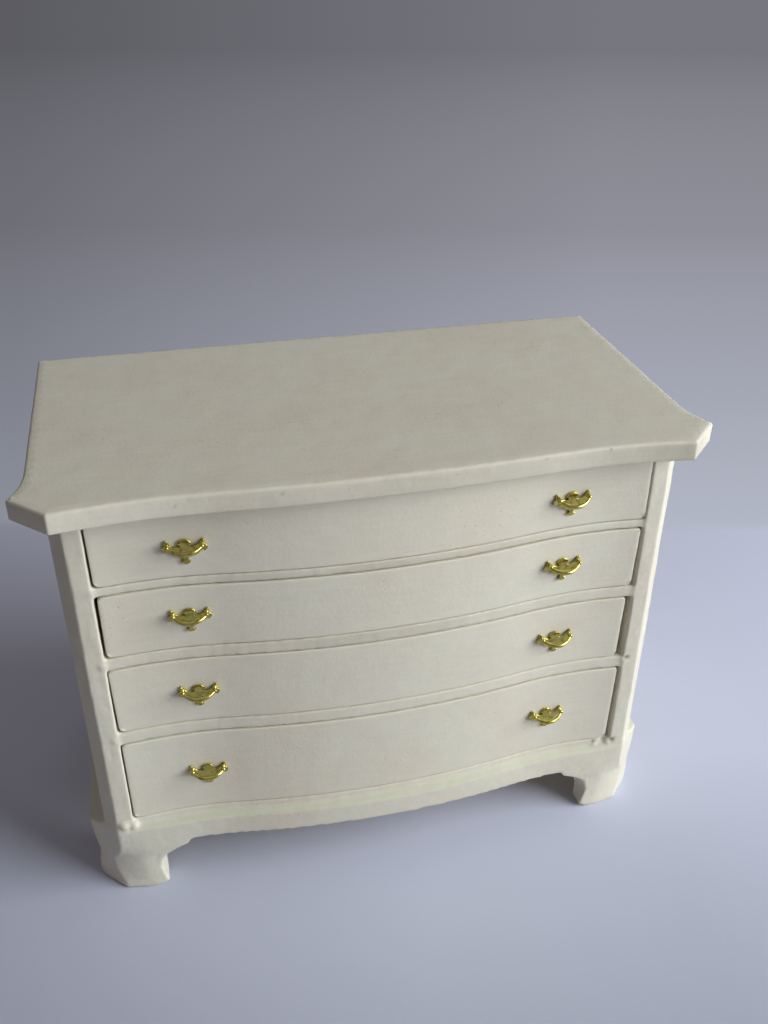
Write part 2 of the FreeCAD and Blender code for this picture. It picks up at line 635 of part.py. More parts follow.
def octagon(radius):
    """The corners of an octagon round the sketch's origin, with its flats at a radius."""
    short = f"({radius} * tan(22.5))"
    return [(radius, short), (short, radius), (f"-{short}", radius), (f"-{radius}", short),
            (f"-{radius}", f"-{short}"), (f"-{short}", f"-{radius}"), (short, f"-{radius}"),
            (radius, f"-{short}")]


def turn_round(body, sketch, axis, angle="360", midplane=False, kind="Revolution"):
    """A Revolution or a Groove of the sketch about its own horizontal or vertical axis."""
    feature = body.newObject(f"PartDesign::{kind}", f"{sketch.Name}_turned")
    feature.Profile = sketch
    feature.ReferenceAxis = (sketch, [axis])
    feature.Midplane = midplane
    bind(feature, "Angle", angle)
    return feature


def build_plate(number, side):
    body = new_body(f"drawer_{number}_{side}_pull_plate")
    place_on_front(body, number, side, "0", "0")
    sketch = new_sketch(body, "outline", plane="XZ_Plane")
    outline(sketch, plate_corners())
    pad(body, sketch, "plate_thickness")
    post = new_sketch(body, "post", plane="YZ_Plane", offset="post_place - post_width / 2")
    root, size = "(-plate_thickness / 2)", "post_half_height"
    flat = f"({size} * tan(22.5))"
    outline(post, [(root, f"hinge_lift + {size}"), (root, f"hinge_lift - {size}"),
                   (f"-({HINGE_OUT} + {flat})", f"hinge_lift - {size}"),
                   (f"-({HINGE_OUT} + {size})", f"hinge_lift - {flat}"),
                   (f"-({HINGE_OUT} + {size})", f"hinge_lift + {flat}"),
                   (f"-({HINGE_OUT} + {flat})", f"hinge_lift + {size}")])
    mirror(body, [pad(body, post, "post_width")])
    hole = new_sketch(body, "hinge_hole", plane="YZ_Plane")
    circle(hole, f"-{HINGE_OUT}", "hinge_lift", "hinge_radius + hinge_clearance")
    cut_through(body, hole, midplane=True)


def build_bail(number, side):
    """A bent rod with a knuckle on each end, and a hinge pin that points inwards from each."""
    body = new_body(f"drawer_{number}_{side}_bail")
    place_on_front(body, number, side, HINGE_OUT, "hinge_lift")
    rod = new_sketch(body, "rod", plane="XZ_Plane")
    corners = []
    for across, down, turn in ((f"({BAIL_SPAN} + bail_rod)", "(bail_drop + bail_rod)", 1),
                               (f"({BAIL_SPAN} - bail_rod)", "(bail_drop - bail_rod)", -1)):
        bend = f"(({across}^2 + {down}^2) / (2 * {down}))"
        corners += [(f"-{turn} * {across}", "0", bend, turn), (f"{turn} * {across}", "0")]
    outline(rod, corners)
    bar = pad(body, rod, "2 * bail_rod", midplane=True)
    doc.recompute()
    front_curves = [f"Edge{place}" for place, edge in enumerate(bar.Shape.Edges, start=1)
                    if isinstance(edge.Curve, Part.Circle) and edge.BoundBox.YMax < 0]
    chamfer = body.newObject("PartDesign::Chamfer", f"{body.Name}_chamfer")
    chamfer.Base = (bar, front_curves)
    bind(chamfer, "Size", "bail_chamfer")
    knuckle = new_sketch(body, "knuckle", plane="YZ_Plane", offset=f"{BAIL_SPAN} - knuckle_length / 2")
    outline(knuckle, octagon("knuckle_radius"))
    ends = [pad(body, knuckle, "knuckle_length")]
    pin = new_sketch(body, "pin", plane="YZ_Plane", offset="post_place - post_width / 2")
    circle(pin, "0", "0", "hinge_radius")
    ends.append(pad(body, pin, "post_width + bail_play + knuckle_length / 2"))
    mirror(body, ends)


# ---------------------------------------------------------------------------------------
# Build everything, check it and write one STEP file for each piece
# ---------------------------------------------------------------------------------------
build_top_board()
build_case_sides()
build_stiles()
build_rails_and_dividers()
build_drawer_guides()
build_aprons()
build_front_feet()
build_rear_feet()
for drawer in (1, 2, 3, 4):
    build_drawer(drawer)
    for place in ("left", "right"):
        build_plate(drawer, place)
        build_bail(drawer, place)
doc.recompute()

for item in doc.Objects:
    if "Invalid" in item.State or "Error" in item.State:
        raise RuntimeError(f"{item.Name} failed: {item.State}")
os.makedirs("parts", exist_ok=True)
for piece in pieces:
    if piece.Shape.isNull() or not piece.Shape.isValid() or not piece.Shape.Solids:
        raise RuntimeError(f"{piece.Label} has no valid solid")
    piece.Shape.exportStep(f"parts/{piece.Label}.step")
    print(f"{piece.Label}: {len(piece.Shape.Solids)} solid, {piece.Shape.Volume:.2f} mm3")
print(f"{len(pieces)} pieces")
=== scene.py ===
# %% [markdown]
# # A painted dolls' house chest of drawers
#
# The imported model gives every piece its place. This lesson dresses it: hand-painted
# cream woodwork with softened edges, small cast-brass pulls, and bare basswood
# drawer boxes that only show when a drawer is open. Everything is in metres, with
# X to the right, Y to the back and Z up.

# %% Load the frame
import math

import bmesh
import bpy
import numpy as np
from mathutils import Matrix, Vector, geometry, noise


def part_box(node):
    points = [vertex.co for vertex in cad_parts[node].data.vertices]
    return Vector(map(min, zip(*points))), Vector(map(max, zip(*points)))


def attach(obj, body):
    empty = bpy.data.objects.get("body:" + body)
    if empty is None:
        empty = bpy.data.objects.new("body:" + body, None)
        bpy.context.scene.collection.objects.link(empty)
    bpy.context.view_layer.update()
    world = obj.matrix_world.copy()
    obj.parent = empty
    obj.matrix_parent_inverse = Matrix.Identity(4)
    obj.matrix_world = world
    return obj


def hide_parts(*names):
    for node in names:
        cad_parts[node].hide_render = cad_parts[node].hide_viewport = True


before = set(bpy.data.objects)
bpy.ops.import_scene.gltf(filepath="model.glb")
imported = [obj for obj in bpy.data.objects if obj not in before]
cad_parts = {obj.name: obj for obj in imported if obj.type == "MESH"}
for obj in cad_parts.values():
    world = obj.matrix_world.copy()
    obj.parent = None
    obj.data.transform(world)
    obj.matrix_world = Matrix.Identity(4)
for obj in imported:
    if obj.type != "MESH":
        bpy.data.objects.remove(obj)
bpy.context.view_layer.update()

# %% [markdown]
# The real chest is about 10 cm wide, so its sizes are easier to read in millimetres.
# Each one is turned to metres once, by the same number.

# %% Units and small helpers
MM = 0.001


def box_mm(node):
    """Lowest and highest corner of a CAD node, in millimetres."""
    low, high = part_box(node)
    return low / MM, high / MM


case_low, case_high = box_mm("left_side")
CASE_HALF = -case_low.x
CASE_BACK = case_high.y
print(f"the case is {2 * CASE_HALF:.1f} mm wide and its back is at y = {CASE_BACK:.2f} mm")

# %% [markdown]
# ## Camera
#
# A small camera close to a small object gives strong perspective: the uprights lean
# together towards the floor. So the camera stands only about 20 cm away, looks down
# by a third of a right angle, and sees the chest a little from its left. A Track To
# constraint could aim it, but a turn, a tilt and a roll say exactly how it is held.

# %% Camera
CAMERA_PLACE = Vector((-31.04, -152.45, 155.83))
CAMERA_TURN = math.radians(-13.437)
CAMERA_DOWN = math.radians(31.416)
CAMERA_ROLL = math.radians(0.243)
CAMERA_LENS = 35.91

forward = Vector((-math.sin(CAMERA_TURN) * math.cos(CAMERA_DOWN),
                  math.cos(CAMERA_TURN) * math.cos(CAMERA_DOWN),
                  -math.sin(CAMERA_DOWN)))
level = forward.cross(Vector((0, 0, 1))).normalized()
upright = level.cross(forward)
camera_x = level * math.cos(CAMERA_ROLL) + upright * math.sin(CAMERA_ROLL)
camera_y = upright * math.cos(CAMERA_ROLL) - level * math.sin(CAMERA_ROLL)
camera = bpy.data.objects.new("camera", bpy.data.cameras.new("camera"))
camera.matrix_world = Matrix.Translation(CAMERA_PLACE * MM) @ Matrix(
    (camera_x, camera_y, -forward)).transposed().to_4x4()
camera.data.lens = CAMERA_LENS
camera.data.clip_start = 0.01
bpy.context.scene.collection.objects.link(camera)
bpy.context.scene.camera = camera
print("camera looks along", [round(part, 3) for part in forward])

# %% [markdown]
# ## Building blocks for woodwork
#
# Nearly every board here is sawn to an outline, so outlines come first. A designer
# would draw them as sketches of lines and arcs. Here an outline is a plain list of
# points: functions sample its curves, round its corners and divide its long runs,
# which keeps every face small and even for the paint that follows.

# %% Outlines
CORNER_POINTS = 5
CORNER_REACH = 0.45


def serpentine(x, middle, bow, hollow_x, hollow_radius):
    """Y of a serpentine front at x: a bow in the middle between two hollows."""
    radii = (hollow_x**2 + bow**2) / (2 * bow)
    bow_radius = radii - hollow_radius
    distance = abs(x)
    if distance <= hollow_x * bow_radius / radii:
        return middle + bow_radius - math.sqrt(bow_radius**2 - distance**2)
    return middle + bow - hollow_radius + math.sqrt(hollow_radius**2 - (distance - hollow_x)**2)


def curve_points(function, start, end, step):
    """Points (x, function(x)) from start to end, about a step apart."""
    count = max(2, round(abs(end - start) / step) + 1)
    return [Vector((x, function(x))) for x in np.linspace(start, end, count)]


def rounded(points, radii, least_turn=math.radians(20)):
    """The closed outline with an arc for each sharp corner, of one radius or one each.

    An arc takes up at most CORNER_REACH of the run on each side of its corner.
    """
    radii = radii if isinstance(radii, (list, tuple)) else [radii] * len(points)
    result = []
    for place, (corner, radius) in enumerate(zip(points, radii)):
        before, after = points[place - 1], points[(place + 1) % len(points)]
        arriving, leaving = (corner - before).normalized(), (after - corner).normalized()
        turn = math.acos(max(-1.0, min(1.0, arriving.dot(leaving))))
        if turn < least_turn:
            result.append(corner)
            continue
        reach = min(radius * math.tan(turn / 2), (corner - before).length * CORNER_REACH,
                    (after - corner).length * CORNER_REACH)
        first, last = corner - arriving * reach, corner + leaving * reach
        for share in np.linspace(0, 1, CORNER_POINTS):
            result.append(first * (1 - share)**2 + corner * (2 * share * (1 - share)) + last * share**2)
    return result


def divided(points, step):
    """The closed outline with no run longer than a step."""
    result = []
    for place, start in enumerate(points):
        end = points[(place + 1) % len(points)]
        count = max(1, math.ceil((end - start).length / step - 1e-6))
        result += [start.lerp(end, k / count) for k in range(count)]
    return result


def counter_clockwise(points):
    """The outline, turned round where it runs clockwise."""
    area = sum(a.x * b.y - b.x * a.y for a, b in zip(points, points[1:] + points[:1]))
    return points if area > 0 else points[::-1]


square = [Vector(corner) for corner in ((0, 0), (10, 0), (10, 10), (0, 10))]
print("a 10 mm square has", len(divided(rounded(square, 1.0), 1.0)), "points, rounded and divided")

# %% [markdown]
# ### From an outline to a board
#
# A saw leaves sharp arrises (the edges between two faces) and a brush full of paint
# rounds them again. A bevel modifier could do that, but beside a curved front it
# leaves long, uneven faces. So a board is made as rings round its outline: the rings
# near its two faces step inwards to round the arris, and each face is filled with
# small triangles. The whole skin can then be moved by a few hundredths of a
# millimetre with a noise, as brushed paint lies.

# %% Insets and fills
def inset(points, distance):
    """The outline moved inwards by a distance, each corner along its mitre."""
    result = []
    for place, corner in enumerate(points):
        arriving = (corner - points[place - 1]).normalized()
        leaving = (points[(place + 1) % len(points)] - corner).normalized()
        normals = Vector((arriving.y, -arriving.x)), Vector((leaving.y, -leaving.x))
        mitre = (normals[0] + normals[1]) / (1 + normals[0].dot(normals[1]))
        result.append(corner - mitre * distance)
    return result


def inside(points, outline):
    """Which of the points lie inside the outline."""
    points, corners = np.array(points), np.array([tuple(corner) for corner in outline])
    following = np.roll(corners, -1, axis=0)
    x, y = points[:, :1], points[:, 1:]
    crosses = (corners[:, 1] > y) != (following[:, 1] > y)
    rise = np.where(following[:, 1] == corners[:, 1], 1, following[:, 1] - corners[:, 1])
    at = corners[:, 0] + (y - corners[:, 1]) / rise * (following[:, 0] - corners[:, 0])
    return (crosses & (x < at)).sum(axis=1) % 2 == 1


def fill(mesh, ring, height, step, upwards):
    """Fill a ring of vertices with triangles about a step wide.

    The points inside stand in rows, each half a step beside the one before.
    """
    flat = [Vector((vertex.co.x, vertex.co.y)) for vertex in ring]
    low = [min(p[k] for p in flat) for k in (0, 1)]
    high = [max(p[k] for p in flat) for k in (0, 1)]
    columns = max(1, round((high[0] - low[0]) / step))
    rows = max(1, round((high[1] - low[1]) / step))
    lattice = [(low[0] + (high[0] - low[0]) * (i + 0.25 + 0.5 * (j % 2)) / columns,
                low[1] + (high[1] - low[1]) * (j + 0.5) / rows)
               for j in range(rows) for i in range(columns)]
    kept = [Vector(p) for p, within in zip(lattice, inside(lattice, inset(flat, step * 0.45))) if within]
    points, _, faces, origins, _, _ = geometry.delaunay_2d_cdt(
        flat + kept, [], [list(range(len(flat)))], 1, 1e-7)
    vertices = []
    for point, origin in zip(points, origins):
        known = next((k for k in origin if k < len(flat)), None)
        vertices.append(mesh.verts.new((point.x, point.y, height)) if known is None else ring[known])
    for face in faces:
        corners = [vertices[k] for k in face]
        mesh.faces.new(corners if upwards else corners[::-1])


print("moved in by 1 mm, the square starts at", tuple(inset(square, 1.0)[0]))

# %% Boards
ARRIS_STEPS = 3


def bridge(mesh, rings):
    """Join each ring of vertices to the next with a band of faces."""
    for one, other in zip(rings, rings[1:]):
        for k in range(len(one)):
            n = (k + 1) % len(one)
            mesh.faces.new((one[k], one[n], other[n], other[k]))


def board(outline, low, high, arris=0.25, step=0.7, corner=None, fill_step=None, upper=None):
    """A closed board sawn to an outline in millimetres, with rounded arrises.

    Corner is the radius of the outline's corners, and upper that of the upper arris,
    where they differ from the arris's own.
    """
    upper = upper or arris
    outline = divided(rounded(counter_clockwise(outline), arris if corner is None else corner), step)
    angles = [math.pi / 2 * k / ARRIS_STEPS for k in range(ARRIS_STEPS + 1)]
    levels = [(arris * (1 - math.sin(angle)), low + arris * (1 - math.cos(angle))) for angle in angles]
    face = high - low - arris - upper
    rows = max(1, math.ceil(face / step))
    levels += [(0, low + arris + face * k / rows) for k in range(1, rows)]
    levels += [(upper * (1 - math.sin(angle)), high - upper * (1 - math.cos(angle)))
               for angle in reversed(angles)]
    mesh = bmesh.new()
    rings = [[mesh.verts.new((p.x, p.y, height)) for p in inset(outline, distance)]
             for distance, height in levels]
    bridge(mesh, rings)
    fill(mesh, rings[0], low, fill_step or step, upwards=False)
    fill(mesh, rings[-1], high, fill_step or step, upwards=True)
    return mesh


trial = board(square, 0, 3)
print("a board of 10 x 10 x 3 mm has", len(trial.faces), "faces")

# %% Uneven paint
# Each octave's weight, how much finer it is than the one before, and how many there are.
OCTAVES = (0.6, 2.0, 3)
SEED_STEPS = (17.3, 5.1, 9.7)


def uneven(mesh, amount, size, seed=0):
    """Sink the skin by up to an amount, in soft hollows of about a size."""
    mesh.normal_update()
    shift = Vector([seed * step for step in SEED_STEPS])
    for vertex in mesh.verts:
        depth = 0.5 + 0.5 * noise.fractal(vertex.co / size + shift, *OCTAVES)
        vertex.co -= vertex.normal * amount * max(0.0, min(1.0, depth))


bare_places = [vertex.co.copy() for vertex in trial.verts]
uneven(trial, amount=0.05, size=4.0)
moved = max((vertex.co - place).length for vertex, place in zip(trial.verts, bare_places))
print(f"paint moved the board's skin by up to {moved:.3f} mm")
trial.free()

# %% [markdown]
# ### From a mesh to a piece of the chest
#
# Meshes are drawn in millimetres and turned to metres at the end. Each piece then
# rides on a body of the imported model, as a front rides on its drawer, and stands for
# the plain pieces whose place it takes. Where the paint was rubbed, and where a
# painted shade darkens the top's front edge, could be painted by hand in Blender.
# Here each place is written down and goes into the mesh as an attribute, which the
# paint's nodes read.

# %% Pieces on the frame
WEAR_AND_SHADE_FADE = 1.5
WEAR_AND_SHADE_SPARED = 1.3


def add_piece(name, mesh, material, body, replaced):
    """Turn a mesh in millimetres into a piece that rides on a body and stands for nodes."""
    bmesh.ops.scale(mesh, vec=(MM, MM, MM), verts=mesh.verts)
    bmesh.ops.recalc_face_normals(mesh, faces=mesh.faces)
    data = bpy.data.meshes.new(name)
    mesh.to_mesh(data)
    mesh.free()
    data.shade_smooth()
    data.materials.append(material)
    piece = bpy.data.objects.new(name, data)
    bpy.context.scene.collection.objects.link(piece)
    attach(piece, body)
    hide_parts(*replaced)
    print(f"{name}: {len(data.polygons)} faces on {body}")
    return piece


def wear_and_shade(piece, front, places):
    """Write where the paint is darkened, round each (x, z, radius, amount) on the front.

    The marks are rubbed paint, and along the top's front edge painted shade too.
    Front gives the face's y at an x. Faces that look up stay as they are.
    """
    marks = piece.data.attributes.new("worn_and_shaded", "FLOAT", "POINT")
    centres = [(Vector((x, front(x), z)), radius, amount) for x, z, radius, amount in places]
    for vertex in piece.data.vertices:
        darkened = sum(amount * math.exp(-WEAR_AND_SHADE_FADE * (vertex.co / MM - centre).length_squared / radius**2)
                     for centre, radius, amount in centres)
        marks.data[vertex.index].value = darkened * min(1.0, WEAR_AND_SHADE_SPARED - WEAR_AND_SHADE_SPARED * vertex.normal.z)
    print(f"{piece.name}: rubbed in {len(places)} places")


# %% [markdown]
# ## Materials
#
# Colours are written as sRGB hex values, as on a paint card, and one function turns
# them to the linear light that the renderer works in. One helper adds a node.

# %% Colour and node helpers
def linear(colour):
    """A hex colour such as "#e3ddc9" as linear red, green, blue and alpha."""
    parts = [int(colour[k:k + 2], 16) / 255 for k in (1, 3, 5)]
    return [part / 12.92 if part <= 0.04045 else ((part + 0.055) / 1.055)**2.4 for part in parts] + [1.0]


def add_node(tree, kind, settings=None, **inputs):
    """Add a node, change its settings, and set or link its inputs.

    An input is named as in Blender with _ for a space, or _0, _1 ... for its place.
    """
    added = tree.nodes.new("ShaderNode" + kind)
    for name, setting in (settings or {}).items():
        setattr(added, name, setting)
    for name, content in inputs.items():
        key = int(name[1:]) if name[0] == "_" else name.replace("_", " ")
        if isinstance(content, bpy.types.NodeSocket):
            tree.links.new(content, added.inputs[key])
        else:
            added.inputs[key].default_value = content
    return added


def new_material(name):
    """A material with only its output node; returns it, its tree and the output."""
    material = bpy.data.materials.new(name)
    material.use_nodes = True
    material.node_tree.nodes.clear()
    return material, material.node_tree, material.node_tree.nodes.new("ShaderNodeOutputMaterial")


def per_mm(size):
    """The noise scale that gives features of a size in millimetres."""
    return 1 / (size * MM)


def grain_scale(sizes, grain_axis):
    """The scales of a noise drawn out along axis 0 (X), 1 (Y) or 2 (Z).

    Sizes are in millimetres, along the grain and across it.
    """
    return [per_mm(sizes[0] if axis == grain_axis else sizes[1]) for axis in range(3)]


print("a mid grey, #808080, is", [round(part, 3) for part in linear("#808080")], "in linear light")

# %% [markdown]
# ### Cream paint
#
# The real finish is an off-white water-based satin paint, brushed by hand over
# basswood. Two coats fill the grain but leave fine streaks along it, a slight
# orange peel, and small pits where bubbles burst. Paint has an IOR near 1.5 and a
# satin roughness near 0.5. Where it ran together in corners it dried thicker and
# yellower; there a darker, greener colour also paints the shade of the corner and
# the light bounced in it. Where it was knocked it is rubbed brown, and along the
# top's front edge that brown is partly painted shade. Two attributes of each piece
# say where. An image of paint would need every small board unwrapped. Noises need
# no unwrapping, and their scales come from real sizes.

# %% Cream paint
CREAM = "#e1dec9"
WARM_CREAM = "#dfd7c1"
# Thick paint, darker and greener where it also paints shade and bounced light in corners.
POOLED_AND_SHADED_CREAM = "#cbceb2"
PIT_BROWN = "#b9b09a"
# Rubbed paint, and along the top's front edge partly painted shade.
WORN_AND_SHADED_BROWN = "#857656"
STREAK_MM = (7.0, 0.45)
PEEL_MM = 0.55
PATCH_MM = 14.0
PIT_MM = 1.1


def paint(name, grain_axis):
    """Cream paint, brushed along axis 0 (X), 1 (Y) or 2 (Z)."""
    material, tree, output = new_material(name)
    place = add_node(tree, "TexCoord").outputs["Object"]
    stretched = add_node(tree, "Mapping", Vector=place, Scale=grain_scale(STREAK_MM, grain_axis))
    streaks = add_node(tree, "TexNoise", Vector=stretched.outputs[0], Scale=1.0, Detail=3.0)
    peel = add_node(tree, "TexNoise", Vector=place, Scale=per_mm(PEEL_MM), Detail=2.0)
    patches = add_node(tree, "TexNoise", Vector=place, Scale=per_mm(PATCH_MM), Detail=3.0)
    pits = add_node(tree, "TexVoronoi", Vector=place, Scale=per_mm(PIT_MM), Randomness=1.0)
    pit = add_node(tree, "MapRange", Value=pits.outputs["Distance"], From_Min=0.05, From_Max=0.13,
                   To_Min=1.0, To_Max=0.0)
    sparse = add_node(tree, "MapRange", Value=patches.outputs["Fac"], From_Min=0.52, From_Max=0.64)
    pitted = add_node(tree, "Math", {"operation": "MULTIPLY"}, _0=pit.outputs[0], _1=sparse.outputs[0])
    warm = add_node(tree, "MapRange", Value=patches.outputs["Fac"], From_Min=0.35, From_Max=0.7,
                    To_Max=0.8)
    base = add_node(tree, "Mix", {"data_type": "RGBA"}, _0=warm.outputs[0],
                    _6=linear(CREAM), _7=linear(WARM_CREAM))
    # This attribute gives thicker, yellower paint and painted shade in corners and on the ledge.
    pooled_and_shaded = add_node(tree, "Attribute", {"attribute_name": "pooled_and_shaded"})
    yellow = add_node(tree, "Mix", {"data_type": "RGBA"}, _0=pooled_and_shaded.outputs["Fac"],
                      _6=base.outputs[2], _7=linear(POOLED_AND_SHADED_CREAM))
    streak_tone = add_node(tree, "MapRange", Value=streaks.outputs["Fac"], From_Min=0.3, From_Max=0.7,
                           To_Min=0.975, To_Max=1.02)
    toned = add_node(tree, "Mix", {"data_type": "RGBA", "blend_type": "MULTIPLY"}, _0=1.0,
                     _6=yellow.outputs[2], _7=streak_tone.outputs[0])
    dotted = add_node(tree, "Mix", {"data_type": "RGBA"}, _0=pitted.outputs[0],
                      _6=toned.outputs[2], _7=linear(PIT_BROWN))
    # This attribute browns rubbed paint, and along the top's front edge paints shade too.
    worn_and_shaded = add_node(tree, "Attribute", {"attribute_name": "worn_and_shaded"})
    darkened = add_node(tree, "Mix", {"data_type": "RGBA"}, _0=worn_and_shaded.outputs["Fac"],
                      _6=dotted.outputs[2], _7=linear(WORN_AND_SHADED_BROWN))
    rough = add_node(tree, "MapRange", Value=streaks.outputs["Fac"], From_Min=0.3, From_Max=0.7,
                     To_Min=0.46, To_Max=0.6)
    streak_bump = add_node(tree, "Bump", Strength=0.22, Distance=0.05 * MM, Height=streaks.outputs["Fac"])
    peel_bump = add_node(tree, "Bump", Strength=0.4, Distance=0.06 * MM, Height=peel.outputs["Fac"],
                         Normal=streak_bump.outputs[0])
    pit_bump = add_node(tree, "Bump", {"invert": True}, Strength=0.6, Distance=0.08 * MM,
                        Height=pitted.outputs[0], Normal=peel_bump.outputs[0])
    shader = add_node(tree, "BsdfPrincipled", Base_Color=darkened.outputs[2], Roughness=rough.outputs[0],
                      IOR=1.5, Normal=pit_bump.outputs[0])
    tree.links.new(shader.outputs[0], output.inputs["Surface"])
    print("made", name)
    return material


paint_along = [paint("cream_satin_paint_on_basswood_along_x", 0),
               paint("cream_satin_paint_on_basswood_along_y", 1),
               paint("cream_satin_paint_on_basswood_along_z", 2)]

# %% [markdown]
# ### Bare basswood
#
# The drawer boxes, their guides, the boards between the drawers and the back are
# unpainted basswood: pale, even, with a faint straight grain. A picture of wood would
# show its repeats on such small boards, so a noise drawn out along the grain colours
# them. Sanded wood is rough, about 0.7.

# %% Bare basswood
BASSWOOD_LIGHT = "#dcc49a"
BASSWOOD_DARK = "#c4a577"
GRAIN_MM = (18.0, 0.6)


def basswood(name, grain_axis):
    """Sanded basswood, its grain along axis 0 (X), 1 (Y) or 2 (Z)."""
    material, tree, output = new_material(name)
    place = add_node(tree, "TexCoord").outputs["Object"]
    stretched = add_node(tree, "Mapping", Vector=place, Scale=grain_scale(GRAIN_MM, grain_axis))
    grain = add_node(tree, "TexNoise", Vector=stretched.outputs[0], Scale=1.0, Detail=5.0, Roughness=0.6)
    share = add_node(tree, "MapRange", Value=grain.outputs["Fac"], From_Min=0.35, From_Max=0.7)
    colour = add_node(tree, "Mix", {"data_type": "RGBA"}, _0=share.outputs[0],
                      _6=linear(BASSWOOD_LIGHT), _7=linear(BASSWOOD_DARK))
    fibres = add_node(tree, "Bump", Strength=0.4, Distance=0.05 * MM, Height=grain.outputs["Fac"])
    shader = add_node(tree, "BsdfPrincipled", Base_Color=colour.outputs[2], Roughness=0.7, IOR=1.5,
                      Normal=fibres.outputs[0])
    tree.links.new(shader.outputs[0], output.inputs["Surface"])
    print("made", name)
    return material


basswood_along = [basswood("bare_basswood_along_x", 0), basswood("bare_basswood_along_y", 1)]

# %% [markdown]
# ### Cast brass
#
# The pulls are cast and tumbled brass, sold lacquered for dolls' houses. Brass is a
# metal, so metallic is 1 and its colour is in its reflection. Tumbling leaves it
# smooth, near 0.2, with slight dents and darker, duller places. Modelled dents would
# cost many faces on pieces this small, so one noise moves colour, roughness and bump
# together. The lacquer is the shader's coat.

# %% Cast brass
BRASS = "#d4c466"
BRASS_DULL = "#998a39"
BRASS_DENT_MM = 0.8


def brass(name):
    """Tumbled brass under a thin lacquer."""
    material, tree, output = new_material(name)
    place = add_node(tree, "TexCoord").outputs["Object"]
    dents = add_node(tree, "TexNoise", Vector=place, Scale=per_mm(BRASS_DENT_MM), Detail=2.0)
    dull = add_node(tree, "MapRange", Value=dents.outputs["Fac"], From_Min=0.4, From_Max=0.7)
    colour = add_node(tree, "Mix", {"data_type": "RGBA"}, _0=dull.outputs[0],
                      _6=linear(BRASS), _7=linear(BRASS_DULL))
    rough = add_node(tree, "MapRange", Value=dents.outputs["Fac"], From_Min=0.3, From_Max=0.7,
                     To_Min=0.13, To_Max=0.26)
    bump = add_node(tree, "Bump", Strength=0.3, Distance=0.04 * MM, Height=dents.outputs["Fac"])
    shader = add_node(tree, "BsdfPrincipled", Base_Color=colour.outputs[2], Metallic=1.0,
                      Roughness=rough.outputs[0], Normal=bump.outputs[0], Coat_Weight=0.4,
                      Coat_Roughness=0.08)
    tree.links.new(shader.outputs[0], output.inputs["Surface"])
    print("made", name)
    return material


cast_brass = brass("cast_tumbled_brass")

# %% [markdown]
# ## The case
#
# The front of the case is serpentine: a bow in the middle between two hollows. It
# could be a Bezier curve, but a joiner draws it with three arcs that run into each
# other, and so does this function. Stiles, rails, drawer fronts and pulls all take
# their front from it, so that they meet.

# %% The case's serpentine
CASE_BOW = 2.7
CASE_HOLLOW_X = CASE_HALF - 13.7
CASE_HOLLOW_RADIUS = 72.3
CASE_MIDDLE = box_mm("bottom_board")[0].y
CASE_CANT = 2.15
FINE = 0.6


def case_front(x):
    return serpentine(x, CASE_MIDDLE, CASE_BOW, CASE_HOLLOW_X, CASE_HOLLOW_RADIUS)


def serpentine_board(low, high, back, front):
    """Outline of a board with a straight back and a serpentine front, between two x."""
    edge = curve_points(front, low, high, FINE)
    return edge + [Vector((high, back)), Vector((low, back))]


print(f"the bow stands {case_front(CASE_HOLLOW_X) - case_front(0):.2f} mm in front of the hollows")

# %% [markdown]
# ### Sides and the boards between the drawers
#
# The sides are flat boards, painted upwards with a wide brush. Each drawer runs on a
# full-depth board that nobody painted: it is bare basswood, and shows only when a
# drawer is out. A scaled cube would have knife edges, so both are ring boards. They
# end inside the face frame, where nothing of them shows.

# %% Sides and bare dividers
SIDE_TUCK = 0.5
DIVIDER_TUCK = 0.2
DIVIDER_SKIN = 0.1
RAIL_NODES = ("top_rail", "upper_drawer_divider", "middle_drawer_divider", "lower_drawer_divider",
              "bottom_board")
opening_half = -box_mm("left_drawer_guides")[1].x
frame_back = box_mm("left_front_stile")[1].y


def rectangle(low, high, front):
    """The outline of a box, seen from above, that starts at a front of its own."""
    return [Vector(corner) for corner in ((low.x, front), (high.x, front), (high.x, high.y), (low.x, high.y))]


for side, sign in (("left", -1), ("right", 1)):
    low, high = box_mm(f"{side}_side")
    panel = board(rectangle(low, high, low.y - SIDE_TUCK), low.z, high.z, arris=0.2, step=0.9)
    uneven(panel, amount=0.05, size=4.0, seed=5 + sign)
    add_piece(f"painted_{side}_side", panel, paint_along[2], "case", [f"{side}_side"])

for node in RAIL_NODES[1:]:
    low, high = box_mm(node)
    inner_board = board(rectangle(low, high, frame_back - DIVIDER_TUCK), low.z + DIVIDER_SKIN,
                        high.z - DIVIDER_SKIN, arris=0.1, step=2.0)
    add_piece("bare_" + node, inner_board, basswood_along[0], "case", [node])

# %% [markdown]
# ### Stiles and rails
#
# The stiles are the two corner posts, with a narrow cant planed off each outer
# corner. The rails are the sawn front edges of the boards between the drawers. Boxes
# bent by a curve modifier would not meet the cants, so each is a board with the real
# outline. Paint gathered under the rails, which makes them a little deeper, and long
# strokes of the brush left soft ridges down the stiles: a noise drawn out along the
# post gives those. The pieces reach into each other, to be welded later.

# %% Stiles and rails
STILE_FLAT = 1.6
STILE_FOOT = 0.4
STILE_SPREAD = (0.08, 0.22)
BRUSH_RIDGE_MM = (0.9, 9.0)
BRUSH_RIDGE_DEPTH = 0.08
BRUSH_SHIFT = 4
RAIL_TENON = 1
RAIL_PAINT = {"top_rail": 0.0, "upper_drawer_divider": 0.38, "middle_drawer_divider": 0.45,
              "lower_drawer_divider": 0.55, "bottom_board": 0.0}


